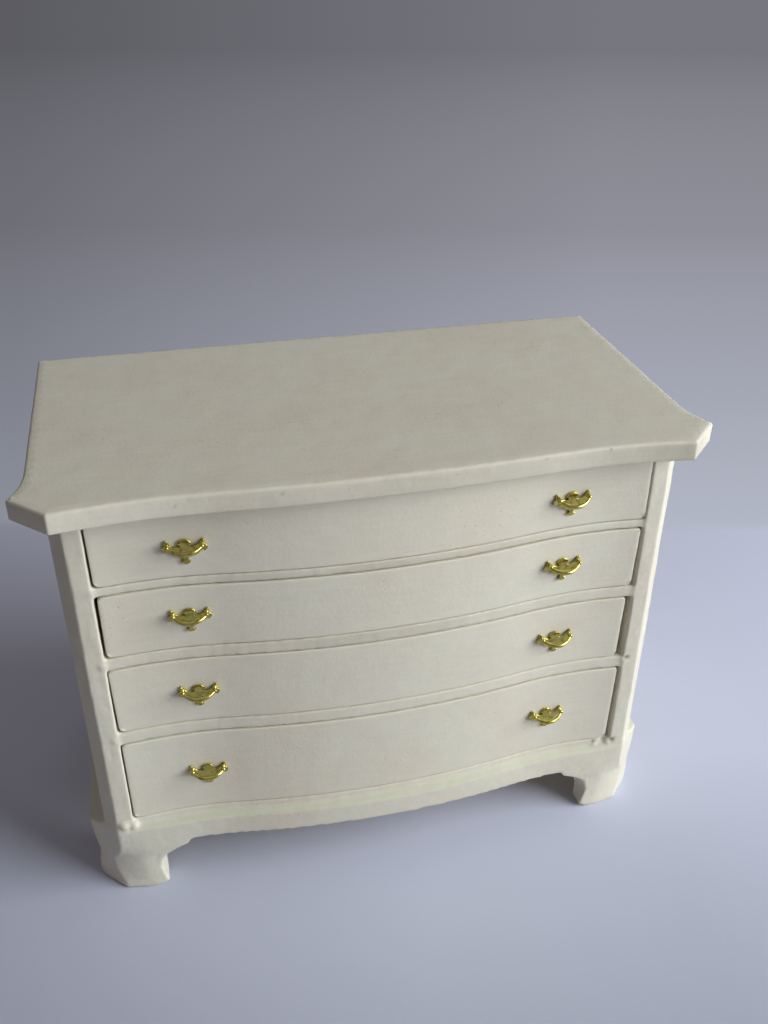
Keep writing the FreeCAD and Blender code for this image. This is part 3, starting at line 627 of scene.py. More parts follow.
def stile_mesh(sign):
    """A corner post with a flat face, a canted outer corner and long brush marks.

    Its inner edge spreads over the opening, by STILE_SPREAD at the foot and so much
    more at the top.
    """
    low, high = box_mm("right_front_stile")
    face_end = CASE_HALF - CASE_CANT
    face_y = case_front(opening_half + STILE_FLAT)
    outline = [(opening_half, face_y), (face_end, face_y), (CASE_HALF, face_y + CASE_CANT),
               (CASE_HALF, high.y), (opening_half, high.y)]
    mesh = board([Vector((sign * x, y)) for x, y in outline], low.z - STILE_FOOT, high.z,
                 arris=0.15, step=FINE, corner=0.25)
    width, length = BRUSH_RIDGE_MM
    for vertex in mesh.verts:
        across = (CASE_HALF - abs(vertex.co.x)) / (CASE_HALF - opening_half)
        upwards = (vertex.co.z - low.z) / (high.z - low.z)
        vertex.co.x += sign * across * (STILE_SPREAD[0] + STILE_SPREAD[1] * upwards)
        ridges = (vertex.co.x / width, vertex.co.y / width, vertex.co.z / length + BRUSH_SHIFT * sign)
        outwards = Vector((vertex.co.x, vertex.co.y, 0)).normalized()
        vertex.co -= outwards * BRUSH_RIDGE_DEPTH * noise.fractal(ridges, *OCTAVES)
    return mesh


def rail_mesh(node):
    """The front edge of a rail or divider, let into the stiles at both ends."""
    low, high = box_mm(node)
    end = opening_half + RAIL_TENON
    return board(serpentine_board(-end, end, frame_back, case_front), low.z - RAIL_PAINT[node], high.z,
                 arris=0.15, step=FINE, fill_step=1.5)


frame_meshes = [stile_mesh(-1), stile_mesh(1)] + [rail_mesh(node) for node in RAIL_NODES]
print(len(frame_meshes), "boards in the face frame")

# %% [markdown]
# ## Top board
#
# The top overhangs all round. Its front is a flatter serpentine than the case's, its
# corners are canted, and behind each cant a hollow sweep leads out to a small horn.
# It could be pushed and pulled from a box, but an outline of true arcs keeps the two
# ends alike. Its upper arris is rounder than its lower one, because it was sanded
# more and is touched more. A few dots along its front edge are where the paint is
# thin. A darker, warmer tone along that edge is partly thin paint and partly painted
# shade, which holds down the light that the rounded edge catches.

# %% Top board
TOP_BOW = 1.2
TOP_HOLLOW_X = CASE_HALF - 16.5
TOP_HOLLOW_RADIUS = 100.0
TOP_HALF = CASE_HALF + 2.5
TOP_CANT = 5.6
HORN_SWEEP = 7.6
HORN_POINTS = 14
top_low, top_high = box_mm("top_board")
top_corner_x = top_high.x - TOP_CANT


def top_front(x):
    return serpentine(x, top_low.y, TOP_BOW, TOP_HOLLOW_X, TOP_HOLLOW_RADIUS)


tip_y = top_front(top_corner_x) + TOP_CANT
horn_reach = top_high.x - TOP_HALF
sweep_radius = (HORN_SWEEP**2 + horn_reach**2) / (2 * horn_reach)
sweep = [Vector((TOP_HALF + sweep_radius - math.sqrt(sweep_radius**2 - reach**2),
                 tip_y + HORN_SWEEP - reach)) for reach in np.linspace(HORN_SWEEP, 0, HORN_POINTS)]
right_side = [Vector((top_high.x, tip_y))] + sweep[1:] + [Vector((TOP_HALF, top_high.y))]
outline = curve_points(top_front, -top_corner_x, top_corner_x, FINE) + right_side
outline += [Vector((-point.x, point.y)) for point in reversed(right_side)]
top = board(outline, top_low.z, top_high.z, arris=0.3, step=FINE, corner=0.6, fill_step=1.2, upper=0.55)
uneven(top, amount=0.07, size=3.5, seed=2)
# Along the front edge: the wide marks are partly thin paint and partly painted shade on the lit arris, and
# the small ones are dots of thin paint.
TOP_MARKS = [(47.0, 81.7, 7.0, 0.26), (36.0, 81.8, 9.0, 0.2), (20.0, 81.5, 10.0, 0.15),
             (3.0, 81.5, 11.0, 0.18), (-18.0, 81.6, 9.0, 0.12), (34.6, 83.1, 0.3, 0.9),
             (24.0, 82.9, 0.25, 0.4), (-16.0, 82.4, 0.3, 0.4), (-31.0, 81.7, 0.3, 0.5)]
top_board = add_piece("painted_top_board", top, paint_along[0], "case", ["top_board"])
wear_and_shade(top_board, top_front, TOP_MARKS)

# %% [markdown]
# ## Plinth and face frame
#
# The plinth is a moulded board that bends with the front and stands on bracket feet.
# Seen from the side its face is an ogee: it draws in to a waist and flares again to
# the toe. A flat cant crosses it at each front corner. Feet like these could be
# sculpted, but their moulding has to be the same on every face, so it is drawn once,
# as a curve through a few (height, distance) stops.

# %% Plinth sizes
PLINTH_HALF = CASE_HALF + 2.7
PLINTH_THICKNESS = 3.6
FOOT_WIDTH = 17.0
FOOT_TOE = 12.3
TOE_ROUND = 1.6
REAR_RETURN = 9.0
REAR_STEP = 1.2
BRACKET_KNEE = 3.0
BRACKET_STEP = 1.0
FRONT_OGEE = ((0.0, -1.2), (0.8, -0.95), (2.4, -1.5), (4.6, -2.0), (7.4, -2.1), (9.0, -1.0), (11.0, -0.4),
              (15.2, 0.0))
OGEE_KEPT = 0.25
OGEE_FADE = 5.5
SIDE_OGEE = ((0.0, -0.5), (1.2, -0.15), (2.8, -0.1), (4.6, -0.4), (7.2, -0.8), (11.0, -0.25), (15.2, 0.0))
CANT_LINE = (69.4, 70.25)
plinth_low, plinth_high = box_mm("front_apron")
PLINTH_TOP = plinth_high.z
APRON_BOTTOM = plinth_low.z
plinth_middle = plinth_low.y

print(f"the plinth is {PLINTH_TOP:.1f} mm high, and its apron starts {APRON_BOTTOM:.1f} mm up")


def smooth_between(stops, height):
    """The distance at a height, on a smooth curve through (height, distance) stops.

    At each stop the curve slopes as the line between the stops beside it.
    """
    heights, distances = zip(*stops)
    place = max(1, min(len(stops) - 1, int(np.searchsorted(heights, height))))
    before, after = max(place - 2, 0), min(place + 1, len(stops) - 1)
    low, high = heights[place - 1], heights[place]
    share = (height - low) / (high - low)
    slopes = [(distances[place] - distances[before]) / (heights[place] - heights[before]),
              (distances[after] - distances[place - 1]) / (heights[after] - heights[place - 1])]
    rise = (high - low) * (share - 2 * share**2 + share**3) * slopes[0]
    fall = (high - low) * (share**3 - share**2) * slopes[1]
    blend = 3 * share**2 - 2 * share**3
    return distances[place - 1] * (1 - blend) + distances[place] * blend + rise + fall


def plinth_front(x):
    """The serpentine, but straight outside its hollows, where the feet are cut."""
    return serpentine(min(abs(x), CASE_HOLLOW_X), plinth_middle, CASE_BOW, CASE_HOLLOW_X,
                      CASE_HOLLOW_RADIUS)


def corner_at(height):
    """Where the cant meets the front and where it meets the side, at a height."""
    front_y = plinth_front(PLINTH_HALF) - smooth_between(FRONT_OGEE, height)
    side_x = PLINTH_HALF + smooth_between(SIDE_OGEE, height)
    line = CANT_LINE[0] + (CANT_LINE[1] - CANT_LINE[0]) * height / PLINTH_TOP
    return Vector((line + front_y, front_y)), Vector((side_x, side_x - line))


def bracket_bottom(distance):
    """Lowest point of the plinth at a distance along a face from the foot's corner."""
    if distance <= FOOT_TOE:
        past = max(0.0, distance - FOOT_TOE + TOE_ROUND)
        return TOE_ROUND - math.sqrt(TOE_ROUND**2 - past**2)
    if distance >= FOOT_WIDTH:
        return APRON_BOTTOM
    reach, drop = FOOT_WIDTH - FOOT_TOE, APRON_BOTTOM - BRACKET_STEP - BRACKET_KNEE
    radius = (reach**2 + drop**2) / (2 * reach)
    rise = math.sqrt(max(radius**2 - (radius - (distance - FOOT_TOE))**2, 0.0))
    return BRACKET_KNEE + min(drop, rise)


print(f"a foot's waist lies {-min(distance for _, distance in FRONT_OGEE):.1f} mm behind the ledge")

# %% [markdown]
# ### The plinth's mesh
#
# One board runs from the back, round the cant and along the front to the middle. It
# is made like a fence: at each station an outer and an inner row of points stand
# between the bracket's curve below and the ledge above, and faces join each station
# to the next. Cutting the brackets out with a boolean would leave ragged triangles
# in the moulding. The other half is the same with x turned round.

# %% Stations round the plinth
STATION_STEP = 0.4
CANT_STATIONS = 12
FRONT_STATIONS = 120


def plinth_stations():
    """Stations round the right half of the plinth, from the rear to the middle.

    Each is the function that gives its outer place at a height, its inner place, and
    the distance from the nearest foot corner.
    """
    front_end, side_end = corner_at(PLINTH_TOP)
    inner_x = PLINTH_HALF - PLINTH_THICKNESS
    inner_y = plinth_front(PLINTH_HALF) + PLINTH_THICKNESS
    length = CASE_BACK - side_end.y

    def side(share):
        def place(height):
            end = corner_at(height)[1]
            return Vector((end.x, CASE_BACK + (end.y - CASE_BACK) * share))
        return place

    def cant(share):
        return lambda height: corner_at(height)[1].lerp(corner_at(height)[0], share)

    def front(share):
        def place(height):
            end = corner_at(height)[0]
            x = end.x * (1 - share)
            kept = OGEE_KEPT + (1 - OGEE_KEPT) * max(0.0, 1 - (end.x - x) / OGEE_FADE)**1.5
            return Vector((x, plinth_front(x) - smooth_between(FRONT_OGEE, height) * kept))
        return place

    stations = []
    for share in np.linspace(0, 1, round(length / STATION_STEP)):
        y = CASE_BACK - length * share
        stations.append((side(share), Vector((inner_x, max(y, inner_y))),
                         min(length * share, length * (1 - share) + CASE_CANT * 2)))
    stations += [(cant(share), Vector((inner_x, inner_y)), 0.0)
                 for share in np.linspace(0, 1, CANT_STATIONS)[1:-1]]
    for share in np.linspace(0, 1, FRONT_STATIONS):
        x = front_end.x * (1 - share)
        stations.append((front(share), Vector((min(x, inner_x), inner_y)), PLINTH_HALF - x))
    return stations


print(len(plinth_stations()), "stations round each half of the plinth")

# %% The plinth's boards
PLINTH_ROWS = 34
SHARP_RISE = 1.5


def build_half_plinth(sign):
    """Half of a bent board with a moulded face, sawn along the brackets' curve below.

    Where the curve rises sharply, a station stands twice, at both heights.
    """
    rows = PLINTH_ROWS
    mesh = bmesh.new()
    stations = []
    for place, within, distance in plinth_stations():
        low = bracket_bottom(distance)
        if stations and abs(stations[-1][2] - low) > SHARP_RISE:
            stations.append((place, within, stations[-1][2]))
        stations.append((place, within, low))
    outer, inner = [], []
    for place, within, low in stations:
        heights = [low + (PLINTH_TOP - low) * k / rows for k in range(rows + 1)]
        outer.append([mesh.verts.new((sign * place(z).x, place(z).y, z)) for z in heights])
        inner.append([mesh.verts.new((sign * within.x, within.y, z)) for z in heights])
    for a in range(len(outer) - 1):
        for k in range(rows):
            mesh.faces.new((outer[a][k], outer[a + 1][k], outer[a + 1][k + 1], outer[a][k + 1]))
            mesh.faces.new((inner[a][k + 1], inner[a + 1][k + 1], inner[a + 1][k], inner[a][k]))
        mesh.faces.new((inner[a][0], inner[a + 1][0], outer[a + 1][0], outer[a][0]))
        mesh.faces.new((outer[a][rows], outer[a + 1][rows], inner[a + 1][rows], inner[a][rows]))
    for k in range(rows):
        mesh.faces.new((inner[0][k], outer[0][k], outer[0][k + 1], inner[0][k + 1]))
        mesh.faces.new((outer[-1][k], inner[-1][k], inner[-1][k + 1], outer[-1][k + 1]))
    return mesh


def rear_return(sign):
    """The short return of a rear foot across the back."""
    outer_x, inner_x = sign * (PLINTH_HALF - REAR_STEP), sign * (PLINTH_HALF - REAR_RETURN)
    inner_y = CASE_BACK - PLINTH_THICKNESS
    outline = [Vector(corner) for corner in ((outer_x, CASE_BACK), (inner_x, CASE_BACK), (inner_x, inner_y),
                                             (outer_x, inner_y))]
    return board(outline, 0.0, PLINTH_TOP, arris=0.1, step=0.8)


frame_meshes += [build_half_plinth(-1), build_half_plinth(1), rear_return(-1), rear_return(1)]
print(len(frame_meshes), "meshes in the face frame and plinth so far")

# %% [markdown]
# ### Paint along the ledge and at the joints
#
# Thick paint ran together in the corner between case and plinth and dried as a cove,
# and it left drops where rails, stiles and plinth meet. The cove is a strip with five
# sides that follows both edges. A drop is a sphere sunk into the face. Knocks left a
# few small dents, and the rails are a little rubbed along the middle.

# %% Paint along the ledge
COVE_ENDS = (-0.12, 0.9)
COVE_BELOW = 0.5
COVE_LIP = 0.05
COVE_BEND = (0.55, 0.45)
COVE_RISE = 1.2
COVE_STATIONS = 160


def ledge_cove():
    """The cove of paint that fills the corner between the case and the plinth's top."""
    mesh = bmesh.new()
    face_end = CASE_HALF - CASE_CANT
    front_end, side_end = corner_at(PLINTH_TOP)
    path = [(Vector((share * face_end, case_front(share * face_end))),
             Vector((share * front_end.x, plinth_front(share * front_end.x))))
            for share in np.linspace(-1, 1, COVE_STATIONS)]
    flank = [(Vector((CASE_HALF, case_front(face_end) + CASE_CANT)), side_end),
             (Vector((CASE_HALF, CASE_BACK)), Vector((PLINTH_HALF, CASE_BACK)))]
    mirrored = [tuple(Vector((-point.x, point.y)) for point in pair) for pair in reversed(flank)]
    sections = []
    for case_edge, plinth_edge in mirrored + path + flank:
        back, front = [case_edge.lerp(plinth_edge, end) for end in COVE_ENDS]
        profile = ((back, -COVE_BELOW), (front, -COVE_BELOW), (front, COVE_LIP),
                   (back.lerp(front, COVE_BEND[0]), COVE_BEND[1]), (back, COVE_RISE))
        sections.append([mesh.verts.new((place.x, place.y, PLINTH_TOP + up)) for place, up in profile])
    bridge(mesh, sections)
    mesh.faces.new(sections[0])
    mesh.faces.new(sections[-1][::-1])
    return mesh


frame_meshes.append(ledge_cove())
print("the cove has", len(frame_meshes[-1].faces), "faces")

# %% Drops, rubbed places and dents
def drop_of_paint(x, z, size, proud):
    """A low drop of paint that dried on the face of the frame."""
    mesh = bmesh.new()
    bmesh.ops.create_uvsphere(mesh, u_segments=16, v_segments=10, radius=size)
    y = case_front(max(-CASE_HALF + CASE_CANT, min(CASE_HALF - CASE_CANT, x)))
    bmesh.ops.translate(mesh, verts=mesh.verts, vec=(x, y + size - proud, z))
    return mesh


# Each drop is (x, z, radius, how proud it stands).
DROPS = [(-45.0, 65.8, 1.1, 0.3), (-45.1, 52.0, 1.1, 0.35), (-45.3, 36.3, 1.1, 0.3),
         (-46.1, PLINTH_TOP + 1.2, 1.3, 0.6), (-44.6, PLINTH_TOP + 1.0, 1.1, 0.65),
         (45.0, 36.4, 0.9, 0.3), (41.6, PLINTH_TOP + 1.0, 1.0, 0.3), (44.4, PLINTH_TOP + 1.2, 1.1, 0.35)]
RUBBED = [(-22.0, 65.6, 9.0, 0.1), (0.0, 65.6, 12.0, 0.18), (20.0, 65.6, 10.0, 0.15),
          (-8.0, 51.8, 11.0, 0.16), (8.0, 51.8, 10.0, 0.14), (28.0, 51.8, 9.0, 0.1)]
DENTS = [(45.2, 37.1, 0.55, 0.9), (43.9, 67.2, 0.35, 0.5), (41.2, PLINTH_TOP + 1.7, 0.5, 0.6),
         (44.9, PLINTH_TOP + 1.7, 0.7, 0.9), (43.2, PLINTH_TOP + 1.9, 0.8, 0.35)]
frame_meshes += [drop_of_paint(*drop) for drop in DROPS]
print(len(DROPS), "drops of paint,", len(DENTS), "dents and", len(RUBBED), "rubbed places")

# %% [markdown]
# ### One skin of paint
#
# Paint bridges every joint between plinth, stiles and rails, so the chest shows no
# gaps there. Boolean unions would keep each joint sharp. A voxel remesh welds all the
# boards into one skin of even faces instead, and a little smoothing then fillets the
# joints just as the paint did.

# %% The weld
def merged(meshes):
    """All the meshes in one, side by side."""
    whole = bmesh.new()
    for mesh in meshes:
        data = bpy.data.meshes.new("part")
        mesh.to_mesh(data)
        mesh.free()
        whole.from_mesh(data)
        bpy.data.meshes.remove(data)
    return whole


def welded(meshes, voxel, smoothing):
    """Weld meshes in millimetres into one skin of small even faces, then soften it."""
    for mesh in meshes:
        bmesh.ops.recalc_face_normals(mesh, faces=mesh.faces)
    whole = merged(meshes)
    data = bpy.data.meshes.new("skin")
    whole.to_mesh(data)
    whole.free()
    holder = bpy.data.objects.new("skin", data)
    bpy.context.scene.collection.objects.link(holder)
    remesh = holder.modifiers.new("weld", "REMESH")
    remesh.mode = "VOXEL"
    remesh.voxel_size = voxel
    smooth = holder.modifiers.new("soften", "SMOOTH")
    smooth.iterations = smoothing
    smooth.factor = 0.5
    evaluated = holder.evaluated_get(bpy.context.evaluated_depsgraph_get())
    skin = bmesh.new()
    skin.from_mesh(evaluated.to_mesh())
    bpy.data.objects.remove(holder)
    return skin


frame_skin = welded(frame_meshes, voxel=0.27, smoothing=4)
print("the welded skin has", len(frame_skin.faces), "faces")

# %% [markdown]
# ### Where the paint is thick, dented or rubbed, and painted shade in its corners
#
# Smoothing a copy of the skin over and over lifts the points that lie in corners.
# How far a point rises says how deep its corner is, and so how much paint pooled
# there and how much painted shade falls into it. The ledge is level, so paint pooled
# all along it too, most on its upward faces, where the colour also paints the light
# bounced between ledge and case. Both go into one attribute, and dents are pressed
# into the mesh itself.

# %% Pooled paint and painted shade
CORNER_ROUNDS = 12
CORNER_LIFTS = (0.04, 0.2)
LEDGE_POOLS_AND_SHADE = (0.95, 0.3)
LEDGE_BAND = (-0.3, 1)


def pool_paint_and_shade(piece, reach, least, most):
    """Write where paint pooled and where shade is painted, on the ledge and in corners.

    A corner counts by how much smoothing lifts it.
    """
    data = piece.data
    count = len(data.vertices)
    places, normals = np.empty(count * 3), np.empty(count * 3)
    data.vertices.foreach_get("co", places)
    data.vertices.foreach_get("normal", normals)
    places, normals = places.reshape(-1, 3), normals.reshape(-1, 3)
    ends = np.empty(len(data.edges) * 2, dtype=np.int32)
    data.edges.foreach_get("vertices", ends)
    one, other = ends[::2], ends[1::2]
    neighbours = np.bincount(one, minlength=count) + np.bincount(other, minlength=count)
    smooth = places.copy()
    for _ in range(reach):
        sums = np.stack([np.bincount(one, smooth[other, k], count) + np.bincount(other, smooth[one, k], count)
                         for k in range(3)], axis=1)
        smooth = 0.5 * smooth + 0.5 * sums / neighbours[:, None]
    lift = ((smooth - places) * normals).sum(axis=1) / MM
    pooled_and_shaded = np.clip((lift - least) / (most - least), 0, 1)
    # Along the ledge the paint pooled, and the colour also paints shade and light bounced between ledge and
    # case; upward faces get the most.
    low, high = [(PLINTH_TOP + above) * MM for above in LEDGE_BAND]
    ledge = (places[:, 2] > low) & (places[:, 2] < high)
    ledge_share = np.where(np.abs(places[:, 0]) < CASE_HALF * MM, *LEDGE_POOLS_AND_SHADE)
    pooled_and_shaded = np.maximum(pooled_and_shaded, ledge * ledge_share * np.clip(1.6 * normals[:, 2] - 0.3, 0, 1))
    data.attributes.new("pooled_and_shaded", "FLOAT", "POINT").data.foreach_set("value", pooled_and_shaded)
    print(f"{piece.name}: paint pooled over {100 * np.mean(pooled_and_shaded > 0.3):.1f}% of its points")


# Points lifted this much get thick paint and painted shade.
print("paint pools where", CORNER_ROUNDS, "rounds of smoothing lift a point by", CORNER_LIFTS, "mm")

# %% Face frame and plinth
DENT_DEPTH = 0.5


def dent(mesh, places):
    """Press small dents into the face of the frame, at each (x, z, radius, amount)."""
    for x, z, radius, _ in places:
        for vertex in mesh.verts:
            distance = math.hypot(vertex.co.x - x, vertex.co.z - z)
            if distance < 2 * radius and vertex.co.y < case_front(CASE_HOLLOW_X) + 1:
                vertex.co.y += DENT_DEPTH * radius * math.exp(-2 * (distance / radius)**2)


uneven(frame_skin, amount=0.07, size=2.4, seed=8)
dent(frame_skin, DENTS)
face_frame = add_piece("painted_face_frame_and_plinth", frame_skin, paint_along[0], "case",
                       ["left_front_stile", "right_front_stile", *RAIL_NODES, "front_apron",
                        "left_side_apron", "right_side_apron", "left_front_foot", "right_front_foot",
                        "left_rear_foot", "right_rear_foot"])
# Thick paint and painted shade in the frame's corners and along its ledge.
pool_paint_and_shade(face_frame, CORNER_ROUNDS, *CORNER_LIFTS)
wear_and_shade(face_frame, case_front, RUBBED + DENTS)

# %% [markdown]
# ## Drawer fronts
#
# Each front was planed by hand until it fitted its opening, so its ends are not quite
# upright and its lower corners are a little round. Sawing a block with a boolean
# would leave its arrises sharp. So a flat board is made of the outline as seen from
# the front, and then bent: its face follows the serpentine and its back stays flat.

# %% Drawer fronts
# Radii of the lower left, lower right, upper right and upper left corner.
FRONT_RADII = (1.3, 1.1, 0.5, 0.7)
# How far the left end lies to the right of its place, below and above, then the right end.
FRONT_ENDS = {1: (-0.22, -0.29, 0.46, 0.5), 2: (-0.11, -0.03, -0.15, 0.17),
              3: (-0.15, -0.37, -0.9, -0.62), 4: (-0.18, -0.22, -0.5, -0.15)}
FRONT_TOPS = {1: 0.0, 2: RAIL_PAINT["upper_drawer_divider"], 3: RAIL_PAINT["middle_drawer_divider"],
              4: RAIL_PAINT["lower_drawer_divider"]}
FRONT_GROWTH = 0.1
FRONT_SKIN = 1


def drawer_front_mesh(number):
    """A serpentine drawer front. Its first millimetre is as curved as its face."""
    low, high = box_mm(f"drawer_{number}_front")
    left_low, left_high, right_low, right_high = FRONT_ENDS[number]
    bottom, top = low.z - FRONT_GROWTH, high.z + FRONT_GROWTH - FRONT_TOPS[number]
    outline = rounded([Vector((low.x + left_low, bottom)), Vector((high.x + right_low, bottom)),
                       Vector((high.x + right_high, top)), Vector((low.x + left_high, top))], FRONT_RADII)
    thickness = high.y - case_front(0)
    mesh = board(outline, 0, thickness, arris=0.16, step=FINE, corner=0.05)
    for vertex in mesh.verts:
        x, z, depth = vertex.co
        y = case_front(x)
        behind = (high.y - y - FRONT_SKIN) * (depth - FRONT_SKIN) / (thickness - FRONT_SKIN)
        vertex.co = (x, y + depth if depth < FRONT_SKIN else y + FRONT_SKIN + behind, z)
    return mesh


for number in (1, 2, 3, 4):
    front = drawer_front_mesh(number)
    uneven(front, amount=0.05, size=4.5, seed=20 + number)
    add_piece(f"painted_drawer_{number}_front", front, paint_along[0], f"drawer_{number}",
              [f"drawer_{number}_front"])

# %% [markdown]
# ## Bare wood that stays from the frame
#
# The drawer boxes, their guides and the back are plain thin boards, whose true shapes
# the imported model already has. They could be built again with soft arrises, but little
# of them ever shows, so they keep their meshes and get bare wood. Its grain runs along
# each board: to the back in drawer sides and guides, and across in the rest.

# %% Bare wood that stays from the frame
bare = [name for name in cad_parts
        if name.startswith("drawer_") and name.endswith(("_side", "_bottom", "_back"))
        or name.endswith(("_guides", "back_panel"))]
for name in bare:
    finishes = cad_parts[name].data.materials
    finishes.clear()
    finishes.append(basswood_along[1 if name.endswith(("_side", "_guides")) else 0])
print(len(bare), "boards stay bare")

# %% [markdown]
# ## Pulls
#
# Each pull is a cast plate with wings, a fan on top and a drop below, and a bail that
# hangs between two balls. Castings with relief are often sculpted. These are only
# 7 mm wide, so what shows is the plate's outline, which is drawn with arcs for its
# scoops and lobes and with corners between them. Soft arrises then catch the light.

# %% The plate's outline
PLATE_HALF = 3.6
LOBE_TOP = 1.8
DROP_BOTTOM = 2.6
ARC_STEPS = 7


def arc_points(start, end, radius, turn, count=ARC_STEPS):
    """Points of an arc from start up to, but without, end: turn 1 or -1 is its side."""
    chord = end - start
    across = Vector((-chord.y, chord.x)) / chord.length
    rise = math.sqrt(max(radius**2 - (chord.length / 2)**2, 0.0))
    centre = (start + end) / 2 + across * rise * turn
    first = math.atan2(*(start - centre).yx)
    last = math.atan2(*(end - centre).yx)
    sweep_angle = (last - first) % (2 * math.pi) if turn > 0 else -((first - last) % (2 * math.pi))
    return [centre + Vector((math.cos(first + sweep_angle * k / count),
                             math.sin(first + sweep_angle * k / count))) * radius for k in range(count)]


def plate_outline():
    """The winged plate, seen from the front: x to the right, y up.

    A corner with a radius and a side starts an arc to the next corner.
    """
    right = [(0, LOBE_TOP, 1.09, -1), (1.05, LOBE_TOP - 0.8), (0.68, LOBE_TOP - 1.02),
             (0.8, LOBE_TOP - 1.25, 1.6, 1), (PLATE_HALF - 1, LOBE_TOP - 0.18, 0.25, -1),
             (PLATE_HALF - 0.58, LOBE_TOP - 0.22), (PLATE_HALF - 0.62, 0.85, 0.66, -1),
             (PLATE_HALF - 0.78, -0.42), (PLATE_HALF - 1.0, -0.1, 3.2, -1),
             (0.45, 1.2 - DROP_BOTTOM), (0.3, 0.75 - DROP_BOTTOM), (0.78, 0.5 - DROP_BOTTOM, 1.0, -1),
             (0, -DROP_BOTTOM)]
    half = []
    for corner, following in zip(right, right[1:]):
        start, end = Vector(corner[:2]), Vector(following[:2])
        half += arc_points(start, end, corner[2], corner[3]) if len(corner) > 2 else [start]
    return half + [Vector(right[-1][:2])] + [Vector((-p.x, p.y)) for p in reversed(half[1:])]


print("the plate's outline has", len(plate_outline()), "points")

# %% [markdown]
# ### Plates with their stems
#
# Behind each ball a stem with a small collar stands on the plate and holds the hinge
# line clear of it. Stems and balls are round, so one function turns a profile about
# an axis, as a lathe does. A screw modifier turns profiles too, but leaves the ends
# open. The stems sink into the plate instead of being welded, since no light gets
# between them.

# %% Plates with their stems
PLATE_THICKNESS = 0.35
HINGE_LIFT = 1.0
POST_REACH = 0.75
BAIL_SPAN = 2.59
COLLAR_RADIUS = 0.4
COLLAR_HEIGHT = 0.08
STEM_RADII = (0.26, 0.24)
STEM_END = 0.1


def turned(profile, sides):
    """A solid turned from a profile of (distance along the axis, radius) pairs, along Z."""
    mesh = bmesh.new()
    rings = [[mesh.verts.new((radius * math.cos(2 * math.pi * k / sides),
                              radius * math.sin(2 * math.pi * k / sides), along)) for k in range(sides)]
             for along, radius in profile]
    bridge(mesh, rings)
    mesh.faces.new(rings[0][::-1])
    mesh.faces.new(rings[-1])
    return mesh


def plate_mesh():
    """The plate with a stem behind each ball, lying in XY with its front towards +Z."""
    plate = board(plate_outline(), 0.0, PLATE_THICKNESS, arris=0.1, step=0.18, corner=0.06)
    hinge = PLATE_THICKNESS + POST_REACH
    profile = [(PLATE_THICKNESS / 2, COLLAR_RADIUS), (PLATE_THICKNESS + COLLAR_HEIGHT, COLLAR_RADIUS),
               (PLATE_THICKNESS + 2 * COLLAR_HEIGHT, STEM_RADII[0]), (hinge - STEM_END, STEM_RADII[1])]
    stems = []
    for sign in (-1, 1):
        stem = turned(profile, 20)
        bmesh.ops.translate(stem, verts=stem.verts, vec=(sign * BAIL_SPAN, HINGE_LIFT, 0))
        stems.append(stem)
    return merged([plate, *stems])


trial = plate_mesh()
print("a plate with its stems has", len(trial.faces), "faces")
trial.free()

# %% [markdown]
# ### Bails
#
# A bail is a crescent: a rod bent to an arc, thickest in the middle, with a ball at
# each end. A curve object with a bevel could make it, but would need a second curve
# for its taper. Here rings stand across the arc, each with its own radius, and one
# cosine says how the rod swells.

# %% Bails
BAIL_DROP = 1.35
BAIL_ROD = 0.22
BAIL_SWELL = 0.2
BAIL_SIDES = 18
BAIL_STEPS = 40
BALL_RADIUS = 0.4
BALL_RINGS = 12
BALL_TIP = 0.1


def bail_mesh(lean):
    """The bent rod with a ball at each end, its hinge line along X at the origin."""
    bend = (BAIL_SPAN**2 + BAIL_DROP**2) / (2 * BAIL_DROP)
    half_angle = math.asin(BAIL_SPAN / bend)
    around = [2 * math.pi * k / BAIL_SIDES for k in range(BAIL_SIDES)]
    forwards = Vector((0, 0, 1))
    mesh = bmesh.new()
    rings = []
    for step in range(BAIL_STEPS + 1):
        angle = -half_angle + 2 * half_angle * step / BAIL_STEPS
        centre = Vector((bend * math.sin(angle), bend - BAIL_DROP - bend * math.cos(angle), 0))
        outwards = Vector((math.sin(angle), -math.cos(angle), 0))
        rod = BAIL_ROD + BAIL_SWELL * math.cos(math.pi / 2 * angle / half_angle)**1.5
        ring = [centre + (outwards * math.cos(turn) + forwards * math.sin(turn)) * rod for turn in around]
        rings.append([mesh.verts.new(place) for place in ring])
    bridge(mesh, rings)
    mesh.faces.new(rings[0])
    mesh.faces.new(rings[-1][::-1])
    ends = []
    for sign in (-1, 1):
        ball = turned([(-BALL_RADIUS * math.cos(angle), BALL_RADIUS * math.sin(angle))
                       for angle in np.linspace(BALL_TIP, math.pi - BALL_TIP, BALL_RINGS)], BAIL_SIDES)
        bmesh.ops.rotate(ball, verts=ball.verts, matrix=Matrix.Rotation(math.pi / 2, 3, "Y"))
        bmesh.ops.translate(ball, verts=ball.verts, vec=(sign * BAIL_SPAN, 0, 0))
        ends.append(ball)
    whole = merged([mesh, *ends])
    bmesh.ops.rotate(whole, verts=whole.verts, matrix=Matrix.Rotation(-lean, 3, "X"))
    return whole

trial = bail_mesh(0.0)
print("a bail has", len(trial.faces), "faces")
trial.free()

# %% [markdown]
# ### Pulls on the drawers
#
# The front is curved where a pull sits, so a pull is set upright, turned with the
# slope there and pushed out along the face's normal. Parenting each one by hand would
# do as well, but sixteen pieces soon go astray. The plate rides on its drawer and the
# bail on its own body. A stiff little hinge leaves a bail where it was let go: these
# lean out of their plates, those on the left more than those on the right.

# %% Pulls on the drawers
PULL_SEAT = 0.12
BAIL_LEAN = {"left": math.radians(66), "right": math.radians(52)}
SLOPE_STEP = 0.01


